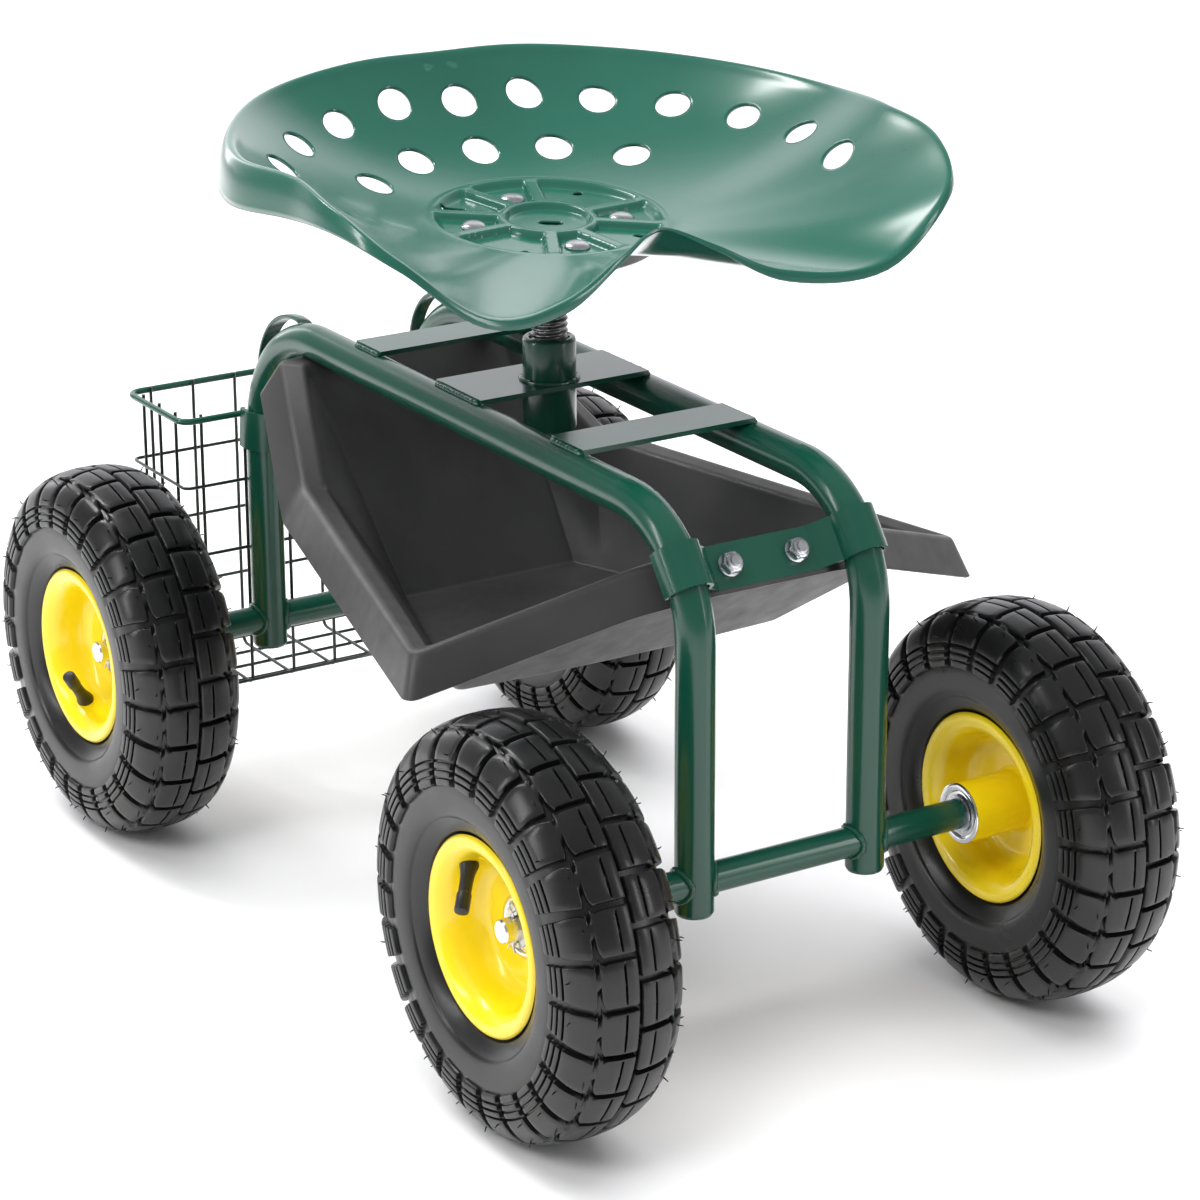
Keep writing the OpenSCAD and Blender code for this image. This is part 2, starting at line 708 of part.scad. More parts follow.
// A flanged ball bearing whose flange is on top of z = 0 and whose body reaches down
module bearing() {
    body = bearing_depth - 0.2;
    flange_h = 1.5;
    race_t = 2.6;
    ball_ring = 12.5;
    ball_r = 2.32;
    difference() {
        union() {
            translate([0, 0, -body]) cylinder(h = body, r = bearing_r);
            cylinder(h = flange_h, r = hub_r + 0.3);
        }
        translate([0, 0, -body - 1]) cylinder(h = body + flange_h + 2, r = bearing_r - race_t);
    }
    translate([0, 0, -body]) ring(rod_r + gap + race_t, rod_r + gap, body + flange_h);
    translate([0, 0, 0.2]) ring(bearing_r - race_t - 0.1, rod_r + race_t + 0.25, 0.8);
    for (i = [0:7]) rotate([0, 0, 45 * i]) translate([ball_ring, 0, -body / 2]) sphere(ball_r, $fn = 24);
}

module bearings() {
    color(zinc) {
        translate([0, 0, hub_out_w]) bearing();
        translate([0, 0, hub_in_w]) mirror([0, 0, 1]) bearing();
    }
}

module valve(turn) {
    color(tyre_black) on_valve(turn) {
        translate([0, 0, -valve_in]) cylinder(h = valve_in + valve_out - 9, r = 3.8);
        translate([0, 0, 2]) cylinder(h = 3, r1 = 5.4, r2 = 4.4);
        translate([0, 0, valve_out - 8.8]) cylinder(h = 8.8, r = 4.3);
    }
}

// Place of each valve around its wheel, in degrees
front_right_valve_turn = 136;
rear_right_valve_turn = 245;
front_left_valve_turn = 60;
rear_left_valve_turn = 200;

// ---------- all nodes ----------

left_rail();
right_rail();
leg_caps();
front_crossbar();
middle_crossbar();
rear_crossbar();
post_sleeve();
front_axle_tube();
rear_axle_tube();
front_axle_rod();
rear_axle_rod();
axle_washers();
cotter_pins();
front_strap();
rear_strap();
strap_bolts();
strap_nuts();
tray();
tray_screws();
rail_lugs();
seat_screw();
seat_flange();
seat_pan();
seat_bolts();
seat_nuts();
basket_rim();
basket_mesh();
basket_hooks();
at_wheel(true, false) tyre();  // front_right_tyre
at_wheel(true, false) inner_tube();  // front_right_inner_tube
at_wheel(true, false) outer_rim(front_right_valve_turn);  // front_right_outer_rim
at_wheel(true, false) inner_rim();  // front_right_inner_rim
at_wheel(true, false) hub();  // front_right_hub
at_wheel(true, false) bearings();  // front_right_bearings
at_wheel(true, false) valve(front_right_valve_turn);  // front_right_valve
at_wheel(true, true) tyre();  // front_left_tyre
at_wheel(true, true) inner_tube();  // front_left_inner_tube
at_wheel(true, true) outer_rim(front_left_valve_turn);  // front_left_outer_rim
at_wheel(true, true) inner_rim();  // front_left_inner_rim
at_wheel(true, true) hub();  // front_left_hub
at_wheel(true, true) bearings();  // front_left_bearings
at_wheel(true, true) valve(front_left_valve_turn);  // front_left_valve
at_wheel(false, false) tyre();  // rear_right_tyre
at_wheel(false, false) inner_tube();  // rear_right_inner_tube
at_wheel(false, false) outer_rim(rear_right_valve_turn);  // rear_right_outer_rim
at_wheel(false, false) inner_rim();  // rear_right_inner_rim
at_wheel(false, false) hub();  // rear_right_hub
at_wheel(false, false) bearings();  // rear_right_bearings
at_wheel(false, false) valve(rear_right_valve_turn);  // rear_right_valve
at_wheel(false, true) tyre();  // rear_left_tyre
at_wheel(false, true) inner_tube();  // rear_left_inner_tube
at_wheel(false, true) outer_rim(rear_left_valve_turn);  // rear_left_outer_rim
at_wheel(false, true) inner_rim();  // rear_left_inner_rim
at_wheel(false, true) hub();  // rear_left_hub
at_wheel(false, true) bearings();  // rear_left_bearings
at_wheel(false, true) valve(rear_left_valve_turn);  // rear_left_valve
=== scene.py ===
"""Looks of the garden cart seat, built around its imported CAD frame.

Lengths in the tables below are millimetres in the frame's own axes: +X is the front,
+Y the left side, +Z up. Meshes are scaled to metres as they are made.
"""

import random
from math import atan2, cos, degrees, hypot, pi, radians, sin, sqrt

import bmesh
import bpy
from mathutils import Euler, Matrix, Vector
from mathutils.geometry import delaunay_2d_cdt


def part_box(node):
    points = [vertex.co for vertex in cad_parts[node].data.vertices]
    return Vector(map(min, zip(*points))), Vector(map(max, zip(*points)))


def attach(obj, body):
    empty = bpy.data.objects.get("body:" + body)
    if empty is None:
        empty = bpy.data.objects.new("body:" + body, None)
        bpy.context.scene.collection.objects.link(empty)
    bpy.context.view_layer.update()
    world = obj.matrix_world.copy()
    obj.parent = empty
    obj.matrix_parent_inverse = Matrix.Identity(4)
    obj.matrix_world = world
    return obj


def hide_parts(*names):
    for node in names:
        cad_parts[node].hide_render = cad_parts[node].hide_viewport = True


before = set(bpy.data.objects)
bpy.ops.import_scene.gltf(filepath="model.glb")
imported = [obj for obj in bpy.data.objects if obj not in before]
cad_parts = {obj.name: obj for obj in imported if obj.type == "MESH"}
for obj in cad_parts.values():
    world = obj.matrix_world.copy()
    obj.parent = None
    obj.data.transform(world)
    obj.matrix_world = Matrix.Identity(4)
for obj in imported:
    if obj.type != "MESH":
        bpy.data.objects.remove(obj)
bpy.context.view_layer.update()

MM = 0.001
TAU = 2 * pi

# --- places, from the CAD frame ---


def box_mm(node):
    low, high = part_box(node)
    return low / MM, high / MM


def centre_of(node):
    low, high = box_mm(node)
    return (low + high) / 2


TYRE_R = (box_mm("front_left_tyre")[1].z - box_mm("front_left_tyre")[0].z) / 2
AXLE_X = centre_of("front_axle_rod").x
AXLE_Z = centre_of("front_axle_rod").z
WHEEL_Y = centre_of("front_left_tyre").y
RAIL_Y = centre_of("left_rail").y
RAIL_R = 12
RAIL_TOP = box_mm("left_rail")[1].z
POST_X = centre_of("post_sleeve").x
BAR_TOP = box_mm("middle_crossbar")[1].z

# --- small tools ---


def blend_points(p, q, t):
    return tuple(a + (b - a) * t for a, b in zip(p, q))


def spline(points, steps):
    """Catmull-Rom curve through the points, steps to a span."""
    ends = [blend_points(points[1], points[0], 2), blend_points(points[-2], points[-1], 2)]
    p = [ends[0], *points, ends[1]]
    out = []
    for i in range(1, len(p) - 2):
        for k in range(steps):
            t = k / steps
            out.append(tuple(
                0.5 * (2 * b + (c - a) * t + (2 * a - 5 * b + 4 * c - d) * t * t
                       + (3 * b - a - 3 * c + d) * t ** 3)
                for a, b, c, d in zip(p[i - 1], p[i], p[i + 1], p[i + 2])
            ))
    out.append(tuple(points[-1]))
    return out


def table_value(table, x):
    """Straight interpolation in a table of (x, value) rows."""
    if x <= table[0][0]:
        return table[0][1]
    for (x0, v0), (x1, v1) in zip(table, table[1:]):
        if x <= x1:
            return v0 + (v1 - v0) * (x - x0) / (x1 - x0)
    return table[-1][1]


def toward(p, q, distance):
    return p + (q - p).normalized() * distance


def step(low, high, x):
    """A smooth step from 0 at low to 1 at high."""
    t = min(1, max(0, (x - low) / (high - low)))
    return t * t * (3 - 2 * t)


def ring(radius, height, steps):
    """Points on a level circle about the Z axis."""
    turns = [TAU * k / steps for k in range(steps)]
    return [(radius * cos(t), radius * sin(t), height) for t in turns]


def polar(r, angle):
    a = radians(angle)
    return r * cos(a), r * sin(a)


def new_object(name, data):
    obj = bpy.data.objects.new(name, data)
    bpy.context.scene.collection.objects.link(obj)
    return obj


class Shape:
    """Vertices and faces that are gathered before they become a piece."""

    def __init__(self):
        self.verts = []
        self.faces = []

    def add(self, verts, faces, place=None):
        start = len(self.verts)
        self.verts += [place(v) if place else v for v in verts]
        self.faces += [[i + start for i in f] for f in faces]

    def grid(self, rows, close_rows=False, caps=False, place=None):
        """Rows of points joined by quads; the columns run round and close."""
        n = len(rows[0])
        verts = [p for row in rows for p in row]
        faces = []
        for i in range(len(rows) if close_rows else len(rows) - 1):
            a, b = i * n, (i + 1) % len(rows) * n
            for j in range(n):
                k = (j + 1) % n
                faces.append([a + j, a + k, b + k, b + j])
        if caps:
            faces.append(list(range(n))[::-1])
            faces.append([(len(rows) - 1) * n + j for j in range(n)])
        self.add(verts, faces, place)

    def lathe(self, profile, steps, place=None, closed=False):
        """Turns (radius, height) points about the Z axis."""
        rows = [ring(r, h, steps) for r, h in profile]
        self.grid(rows, close_rows=closed, caps=not closed, place=place)

    def tube(self, path, radius, sides=12, closed=False, place=None):
        """A round rod along a path; radius is a number or a function of the point's index."""
        pts = [Vector(p) for p in path]
        n = len(pts)
        normal = None
        rows = []
        for i, p in enumerate(pts):
            before = pts[i - 1] if i or closed else p
            after = pts[(i + 1) % n] if i < n - 1 or closed else p
            along = (after - before).normalized()
            if normal is None:
                side = Vector((0, 0, 1)) if abs(along.z) < 0.9 else Vector((1, 0, 0))
                normal = along.cross(side).normalized()
            normal = (normal - along * normal.dot(along)).normalized()
            other = along.cross(normal)
            r = radius(i) if callable(radius) else radius
            turns = [TAU * k / sides for k in range(sides)]
            rows.append([
                tuple(p + r * (cos(t) * normal + sin(t) * other)) for t in turns
            ])
        self.grid(rows, close_rows=closed, caps=not closed, place=place)

    def bead(self, path, radius, closed=False, seed=1):
        """A weld bead: a rod whose radius ripples along the path."""
        rng = random.Random(seed)
        swell = [rng.uniform(0.9, 1.12) for _ in path]

        def ripple(i):
            end = 1 if closed else min(1, 0.55 + 0.25 * min(i, len(path) - 1 - i))
            return radius * swell[i] * (1.06 if i % 3 == 1 else 0.9) * end

        self.tube(path, ripple, sides=10, closed=closed)

    def piece(self, name, body, material, slot, replaces=(), sharp=35, sheet=0):
        """The shape as an object that rides on a body, with folds over sharp degrees kept sharp.

        A closed mesh gets its faces turned outwards; an open one gets the sheet's thickness.
        """
        mesh = bpy.data.meshes.new(name)
        mesh.from_pydata([tuple(c * MM for c in v) for v in self.verts], [], self.faces)
        mesh.validate()
        if not sheet:
            shell = bmesh.new()
            shell.from_mesh(mesh)
            bmesh.ops.recalc_face_normals(shell, faces=shell.faces)
            shell.to_mesh(mesh)
            shell.free()
        mesh.polygons.foreach_set("use_smooth", [True] * len(mesh.polygons))
        mesh.set_sharp_from_angle(angle=radians(sharp))
        mesh.materials.append(material)
        obj = new_object(name, mesh)
        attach(obj, body)
        if replaces:
            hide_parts(*replaces)
        if sheet:
            thick = obj.modifiers.new("sheet", "SOLIDIFY")
            thick.thickness = sheet * MM
            thick.offset = -1
        return obj


def line(p, q, n):
    """A straight path of n equal steps."""
    return [blend_points(p, q, i / n) for i in range(n + 1)]


# --- materials ---


class Nodes:
    """A material's node tree, with short ways to make and join nodes."""

    def __init__(self, name):
        self.material = bpy.data.materials.new(name)
        self.material.use_nodes = True
        self.tree = self.material.node_tree
        self.tree.nodes.clear()
        self.shader = self.new("BsdfPrincipled")
        self.join(self.shader.outputs[0], self.new("OutputMaterial").inputs[0])
        self.place = self.new("TexCoord").outputs["Object"]

    def new(self, kind, values=()):
        """A node with some of its inputs set."""
        node = self.tree.nodes.new("ShaderNode" + kind)
        for key, value in dict(values).items():
            node.inputs[key].default_value = value
        return node

    def join(self, a, b):
        self.tree.links.new(a, b)

    def set(self, **values):
        for key, value in values.items():
            self.shader.inputs[key.replace("_", " ")].default_value = value

    def noise(self, scale, detail, rough=0.55):
        n = self.new("TexNoise", {"Scale": scale, "Detail": detail, "Roughness": rough})
        self.join(self.place, n.inputs["Vector"])
        return n.outputs["Fac"]

    def cells(self, scale):
        n = self.new("TexVoronoi", {"Scale": scale})
        self.join(self.place, n.inputs["Vector"])
        return n.outputs["Distance"]

    def span(self, value, low, high, out_low, out_high):
        """Moves a value from one range to another and clamps it there."""
        ends = {"From Min": low, "From Max": high, "To Min": out_low, "To Max": out_high}
        n = self.new("MapRange", ends)
        self.join(value, n.inputs["Value"])
        return n.outputs["Result"]

    def math(self, kind, a, b):
        n = self.new("Math")
        n.operation = kind
        for socket, v in zip(n.inputs, (a, b)):
            if isinstance(v, (int, float)):
                socket.default_value = v
            else:
                self.join(v, socket)
        return n.outputs[0]

    def mix(self, factor, a, b):
        n = self.new("Mix")
        n.data_type = "RGBA"
        self.join(factor, n.inputs[0])
        for socket, v in ((n.inputs[6], a), (n.inputs[7], b)):
            if isinstance(v, tuple):
                socket.default_value = (*v, 1)
            else:
                self.join(v, socket)
        return n.outputs[2]

    def colour(self, value):
        self.join(value, self.shader.inputs["Base Color"])

    def roughness(self, value):
        self.join(value, self.shader.inputs["Roughness"])

    def bump(self, height, strength, distance):
        n = self.new("Bump", {"Strength": strength, "Distance": distance})
        self.join(height, n.inputs["Height"])
        self.join(n.outputs[0], self.shader.inputs["Normal"])


def enamel(name, base, shade, rough, coat, peel=0.12, dust=0.0, coat_rough=0.06):
    """Sprayed gloss enamel: orange peel, faint clouding and fine specks of dust."""
    m = Nodes(name)
    cloud = m.span(m.noise(9, 4), 0.35, 0.7, 0, 1)
    body = m.mix(cloud, base, shade)
    speck = m.span(m.noise(900, 2), 0.66, 0.74, 0, dust)
    m.colour(m.mix(speck, body, (0.45, 0.47, 0.44)))
    m.roughness(m.span(m.noise(24, 3), 0.1, 0.9, rough * 0.9, rough * 1.12))
    peel_height = m.math("ADD", m.noise(260, 2), m.math("MULTIPLY", m.noise(900, 2), 0.35))
    m.bump(peel_height, peel, 0.0004)
    m.set(Coat_Weight=coat, Coat_Roughness=coat_rough, Coat_IOR=1.5, IOR=1.5)
    return m.material


def metal(name, base, shade, rough, grain=420, bump=0.1, stain=None):
    """Bare or plated metal: patchy brightness and a fine grain."""
    m = Nodes(name)
    patch = m.span(m.noise(120, 5, 0.6), 0.35, 0.68, 0, 1)
    body = m.mix(patch, base, shade)
    if stain:
        body = m.mix(m.span(m.noise(60, 6, 0.7), 0.58, 0.75, 0, 0.7), body, stain)
    m.colour(body)
    m.roughness(m.span(m.noise(180, 4), 0.3, 0.75, rough * 0.7, rough * 1.4))
    m.bump(m.noise(grain * 4, 3), bump, 0.0002)
    m.set(Metallic=1.0)
    return m.material


def rubber(name, base, shade, rough, grain, bump):
    """Moulded rubber: matt with a slight bloom and a fine mould grain."""
    m = Nodes(name)
    bloom = m.span(m.noise(30, 6, 0.65), 0.35, 0.72, 0, 1)
    fine = m.span(m.noise(700, 3), 0.45, 0.75, 0, 0.35)
    m.colour(m.mix(fine, m.mix(bloom, base, shade), (0.012, 0.012, 0.0123)))
    m.roughness(m.span(m.noise(45, 5), 0.3, 0.75, rough * 0.85, rough * 1.2))
    grains = m.noise(grain, 3)
    swell = m.math("MULTIPLY", m.noise(grain / 8, 2), 0.6)
    m.bump(m.math("ADD", grains, swell), bump, 0.0004)
    m.set(IOR=1.5)
    return m.material


def plastic(name, base, shade, rough):
    """Moulded plastic with a leathery pebble grain."""
    m = Nodes(name)
    cloud = m.span(m.noise(14, 4), 0.35, 0.7, 0, 1)
    body = m.mix(cloud, base, shade)
    scuff = m.span(m.noise(55, 8, 0.7), 0.62, 0.8, 0, 0.35)
    m.colour(m.mix(scuff, body, (0.06, 0.06, 0.06)))
    m.roughness(m.span(m.noise(60, 5), 0.3, 0.75, rough * 0.85, rough * 1.25))
    m.bump(m.math("ADD", m.cells(1500), m.noise(900, 2)), 0.22, 0.0003)
    return m.material


GREEN = enamel(
    "frame_green_enamel", (0.004, 0.060, 0.037), (0.004, 0.052, 0.032), 0.24, 0.15, peel=0.03
)
SEAT_GREEN = enamel(
    "seat_green_enamel", (0.005, 0.086, 0.056), (0.0045, 0.076, 0.049), 0.25, 0.7, peel=0.02,
    coat_rough=0.15,
)
RIM_YELLOW = enamel(
    "rim_yellow_enamel", (0.86, 0.65, 0.006), (0.82, 0.60, 0.006), 0.24, 0.3, peel=0.03,
    coat_rough=0.1,
)
BLACK_ENAMEL = enamel(
    "flange_black_enamel", (0.010, 0.010, 0.011), (0.016, 0.016, 0.017), 0.3, 0.5, dust=0.1
)
WIRE_COAT = enamel(
    "basket_wire_coat", (0.005, 0.012, 0.010), (0.008, 0.018, 0.015), 0.35, 0.4
)
ZINC = metal("zinc_plate", (0.72, 0.73, 0.75), (0.52, 0.53, 0.56), 0.3)
ROD_STEEL = metal("rod_end_steel", (0.80, 0.81, 0.82), (0.66, 0.67, 0.68), 0.22)
CHROME = metal("bearing_chrome", (0.86, 0.87, 0.89), (0.72, 0.73, 0.76), 0.12, bump=0.04)
THREAD_STEEL = metal(
    "thread_dark_steel", (0.20, 0.20, 0.20), (0.11, 0.11, 0.11), 0.34, stain=(0.10, 0.085, 0.06)
)
TYRE_RUBBER = rubber(
    "tyre_rubber", (0.0045, 0.0045, 0.0047), (0.0075, 0.0075, 0.0077), 0.31, 1600, 0.05
)
VALVE_RUBBER = rubber(
    "valve_rubber", (0.010, 0.010, 0.010), (0.014, 0.014, 0.014), 0.38, 2400, 0.06
)
TUBE_RUBBER = rubber(
    "inner_tube_rubber", (0.012, 0.012, 0.013), (0.03, 0.03, 0.03), 0.5, 1200, 0.1
)
TRAY_PLASTIC = plastic("tray_charcoal_plastic", (0.026, 0.025, 0.025), (0.034, 0.033, 0.033), 0.40)

# --- CAD nodes that stay ---

# Material, width of the bevel on the edges, and the nodes that get them
CAD_LOOKS = [
    (GREEN, 0, "left_rail right_rail leg_caps front_axle_tube rear_axle_tube"),
    (GREEN, 0.7, "front_crossbar middle_crossbar rear_crossbar"),
    (GREEN, 0.5, "front_strap rear_strap"),
    (ROD_STEEL, 0, "front_axle_rod rear_axle_rod strap_bolts"),
    (ZINC, 0, "tray_screws"), (ZINC, 0.25, "axle_washers"), (BLACK_ENAMEL, 0.5, "seat_flange"),
]
# Which end, which side, and the direction of the valve in degrees
WHEELS = {
    "front_right": (1, -1, 136), "front_left": (1, 1, 60),
    "rear_right": (-1, -1, 245), "rear_left": (-1, 1, 200),
}


def dress(node, material, edge=0):
    """Gives a CAD node its material and a bevel on its edges."""
    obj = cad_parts[node]
    for slot in obj.material_slots:
        slot.material = material
    if edge:
        bevel = obj.modifiers.new("edge", "BEVEL")
        bevel.width = edge * MM
        bevel.segments = 2
        bevel.limit_method = "ANGLE"
        bevel.angle_limit = radians(40)


for material, edge, nodes in CAD_LOOKS:
    for node in nodes.split():
        dress(node, material, edge)
for wheel_name in WHEELS:
    dress(f"{wheel_name}_hub", RIM_YELLOW)
    dress(f"{wheel_name}_inner_tube", TUBE_RUBBER)

# --- seat ---

SEAT_Z = 468  # middle of the pan above the ground
SEAT_YAW, SEAT_SLOPE = -4, 5  # degrees about the post, and forwards
SEAT_AT = Vector((POST_X, 0, SEAT_Z))
SEAT_TURN = (
    Euler((0, 0, radians(SEAT_YAW))).to_matrix()
    @ Euler((0, radians(SEAT_SLOPE), 0)).to_matrix()
)
SHEET = 2.0  # thickness of the pan


def seat_place(p):
    """From the seat's own axes, with the post's middle at 0, to the frame's."""
    return tuple(SEAT_AT + SEAT_TURN @ Vector(p))


# Crest of the pan: angle from the front, distance from the post, height over the pan's middle
CREST = [
    (0, 143, 37), (12, 156, 26), (24, 180, 9), (36, 225, 12), (47, 248, 48), (58, 236, 66),
    (72, 211, 69), (92, 205, 60), (116, 194, 57), (140, 187, 56), (161, 171, 60), (180, 164, 60),
]
# Rolled edge outside the crest: angle, width, drop
EDGE = [
    (0, 1, 1), (12, 3, 4), (24, 5, 7), (36, 4, 5), (47, 4, 5), (58, 6, 12),
    (72, 8, 24), (92, 9, 28), (116, 9, 26), (140, 9, 22), (161, 9, 18), (180, 9, 16),
]
PAN_FROM = 76  # the bowl starts outside this radius
RECESS_R = 70
RECESS_DEPTH = 5
RING_R = 29  # the raised ring round the middle of the recess
BOLT_ANGLES = [-5, 78, 181, 259]
BOLT_RING = 48
RIB_SIDE = 19  # degrees from a bolt to the rib on each side of it
VENT_R = 12


def table_curve(rows, column, angle):
    """Smooth curve through one column of a table of angles, flat at both ends."""
    a = abs((angle + 180) % 360 - 180)
    i = max(k for k in range(len(rows) - 1) if rows[k][0] <= a)

    def slope(j):
        if j in (0, len(rows) - 1):
            return 0
        return (rows[j + 1][column] - rows[j - 1][column]) / (rows[j + 1][0] - rows[j - 1][0])

    h = rows[i + 1][0] - rows[i][0]
    s = (a - rows[i][0]) / h
    v0, v1 = rows[i][column], rows[i + 1][column]
    return (
        (2 * s ** 3 - 3 * s * s + 1) * v0 + (s ** 3 - 2 * s * s + s) * h * slope(i)
        + (3 * s * s - 2 * s ** 3) * v1 + (s ** 3 - s * s) * h * slope(i + 1)
    )


def recess_height(x, y):
    """The round stamped recess: ribs, a raised ring and a dished middle."""
    r = hypot(x, y)
    angle = degrees(atan2(y, x))
    floor = -RECESS_DEPTH * (1 - step(RECESS_R - 3, RECESS_R + 3, r))
    ribs = 0
    for bolt in BOLT_ANGLES:
        for side in (-RIB_SIDE, RIB_SIDE):
            off = radians((angle - bolt - side + 180) % 360 - 180)
            if abs(off) < 1.2:  # on this side of the middle
                ribs = max(ribs, 1 - step(3.4, 6.0, abs(r * sin(off))))
    ribs *= step(RING_R - 3, RING_R + 1, r)
    around = 1 - step(1.6, 4.4, abs(r - RING_R))
    raised = max(ribs, around)
    dish = (1 - step(18, 28, r)) * 0.8
    return floor * (1 - raised * 0.86) - dish * 0.4


def bowl_rise(s):
    """Height of the bowl as a part of the crest's, from 0 at the recess to 1 at the crest."""
    return 0.44 * s + 0.34 * s * s + 0.22 * s ** 3


def pan_height(x, y):
    r = hypot(x, y)
    if r < PAN_FROM:
        return recess_height(x, y)
    angle = degrees(atan2(y, x))
    s = (r - PAN_FROM) / (table_curve(CREST, 1, angle) - PAN_FROM)
    return table_curve(CREST, 2, angle) * bowl_rise(s)


def turned(points, angle, x=0, y=0):
    """Plan points turned about the post's middle, then moved."""
    a = radians(angle)
    return [(x + u * cos(a) - v * sin(a), y + u * sin(a) + v * cos(a)) for u, v in points]


def vent_loops():
    """Plan outlines of the round vents, which are cut square to the bowl."""
    rows = [(178 + 18.5 * i, 138 + 7 * abs(i), 40) for i in range(-6, 7)]
    rows += [(178 + 27 * i, 103 + 4 * abs(i), 20) for i in range(-2, 3)]
    loops = []
    for angle, r, lean in rows:
        circle = [(x * cos(radians(lean)), y) for x, y, _ in ring(VENT_R, 0, 40)]
        loops.append(turned([(r + x, y) for x, y in circle], angle))
    return loops


def round_slot(x, y, length, width, angle):
    """Plan outline of a round-ended slot."""
    loop = []
    for k in range(24):
        t = TAU * (k + 0.5) / 24
        shift = (length - width) / 2 * (1 if cos(t) > 0 else -1)
        loop.append((width / 2 * cos(t) + shift, width / 2 * sin(t)))
    return turned(loop, angle, x, y)


def inside(loop, x, y):
    """Whether a point is in a convex loop that runs anticlockwise."""
    for (x0, y0), (x1, y1) in zip(loop, loop[1:] + loop[:1]):
        if (x1 - x0) * (y - y0) - (y1 - y0) * (x - x0) < 0:
            return False
    return True


AROUND = 240  # columns of the pan's mesh
EDGE_AT = 0.93  # part of the way to the crest where the rolled edge starts
HOLE_REACH = 18  # no hole is wider than this from its middle


def seat_holes():
    """Outlines of all that is cut through the pan, each with its middle."""
    slots = [
        (0, 2, 15, 7, 62), (-44, 44, 8, 6, 130), (-44, -44, 16, 6, -120), (46, -40, 9, 5, -45),
        (44, 42, 9, 5, 40),
    ]
    holes = []
    for loop in vent_loops() + [round_slot(*slot) for slot in slots]:
        xs, ys = zip(*loop)
        holes.append((loop, (sum(xs) / len(loop), sum(ys) / len(loop))))
    return holes


def grown(hole, scale):
    """A hole's outline, scaled about its middle."""
    loop, (cx, cy) = hole
    return [(cx + (x - cx) * scale, cy + (y - cy) * scale) for x, y in loop]


def in_holes(holes, x, y):
    return any(
        abs(x - cx) < HOLE_REACH and abs(y - cy) < HOLE_REACH and inside(loop, x, y)
        for loop, (cx, cy) in holes
    )


def net_points(ring_point):
    """Points that fill the pan: a close net over the recess, then rows out to the edge."""
    spacing, row_gap, rows = 1.3, 1.15, 30
    points = []
    r, row = 1.2, 0
    while r < PAN_FROM + 4:
        n = max(6, int(TAU * r / spacing))
        turns = [TAU * (k + row % 2 / 2) / n for k in range(n)]
        points += [(r * cos(t), r * sin(t)) for t in turns]
        r, row = r + row_gap, row + 1
    for i in range(1, rows):
        s = 0.05 + (EDGE_AT - 0.05) * i / rows
        points += [ring_point(k, s) for k in range(AROUND)]
    return points


def pan_sheet(ring_point):
    """The pan up to its rolled edge: plan points, triangles, and the points of the edge."""
    holes = seat_holes()
    points = [ring_point(k, EDGE_AT) for k in range(AROUND)]
    edge_r = [hypot(*point) for point in points]
    edges = [(k, (k + 1) % AROUND) for k in range(AROUND)]
    for loop, _ in holes:
        start = len(points)
        points += loop
        edges += [(start + k, start + (k + 1) % len(loop)) for k in range(len(loop))]
    for hole in holes:
        points += grown(hole, 1.16)
    wide = [(grown(hole, 1.3), hole[1]) for hole in holes]
    points += [q for q in net_points(ring_point) if not in_holes(wide, *q)]
    flat, _, tris, origin, _, _ = delaunay_2d_cdt([Vector(q) for q in points], edges, [], 0, 1e-5)
    new_index = {source: i for i, sources in enumerate(origin) for source in sources}
    keep = []
    for tri in tris:
        x = sum(flat[i][0] for i in tri) / 3
        y = sum(flat[i][1] for i in tri) / 3
        k = degrees(atan2(y, x)) % 360 / 360 * AROUND
        low = int(k) % AROUND
        limit = edge_r[low] + (edge_r[(low + 1) % AROUND] - edge_r[low]) * (k - int(k))
        if hypot(x, y) < limit + 0.01 and not in_holes(holes, x, y):
            keep.append(list(tri))
    return flat, keep, [new_index[k] for k in range(AROUND)]


def edge_section(r, z, width, drop):
    """Points over the crest and down the rolled edge, from the end of the pan's sheet."""
    knots = [(PAN_FROM + (r - PAN_FROM) * s, z * bowl_rise(s)) for s in (0.8, EDGE_AT)]
    knots += [(r + 0.1 * width, z), (r + 0.7 * width, z - 0.3 * drop), (r + width, z - drop)]
    return spline(knots, 6)[7:]


def seat_shell():
    angles = [360 * k / AROUND for k in range(AROUND)]
    crest_r = [table_curve(CREST, 1, a) for a in angles]

    def ring_point(k, s):
        return polar(PAN_FROM + (crest_r[k] - PAN_FROM) * s, angles[k])

    flat, triangles, last = pan_sheet(ring_point)
    shape = Shape()
    shape.add([(q[0], q[1], pan_height(*q)) for q in flat], triangles)
    sections = [
        edge_section(r, table_curve(CREST, 2, a), table_curve(EDGE, 1, a), table_curve(EDGE, 2, a))
        for r, a in zip(crest_r, angles)
    ]
    for j in range(len(sections[0])):
        start = len(shape.verts)
        for section, a in zip(sections, angles):
            r, z = section[j]
            shape.verts.append((*polar(r, a), z))
        now = list(range(start, start + AROUND))
        for k in range(AROUND):
            n = (k + 1) % AROUND
            shape.faces.append([last[k], now[k], now[n], last[n]])
        last = now
    shape.verts = [seat_place(v) for v in shape.verts]
    shape.piece("seat_shell", "seat", SEAT_GREEN, "seat_paint", ["seat_pan"], 50, SHEET)


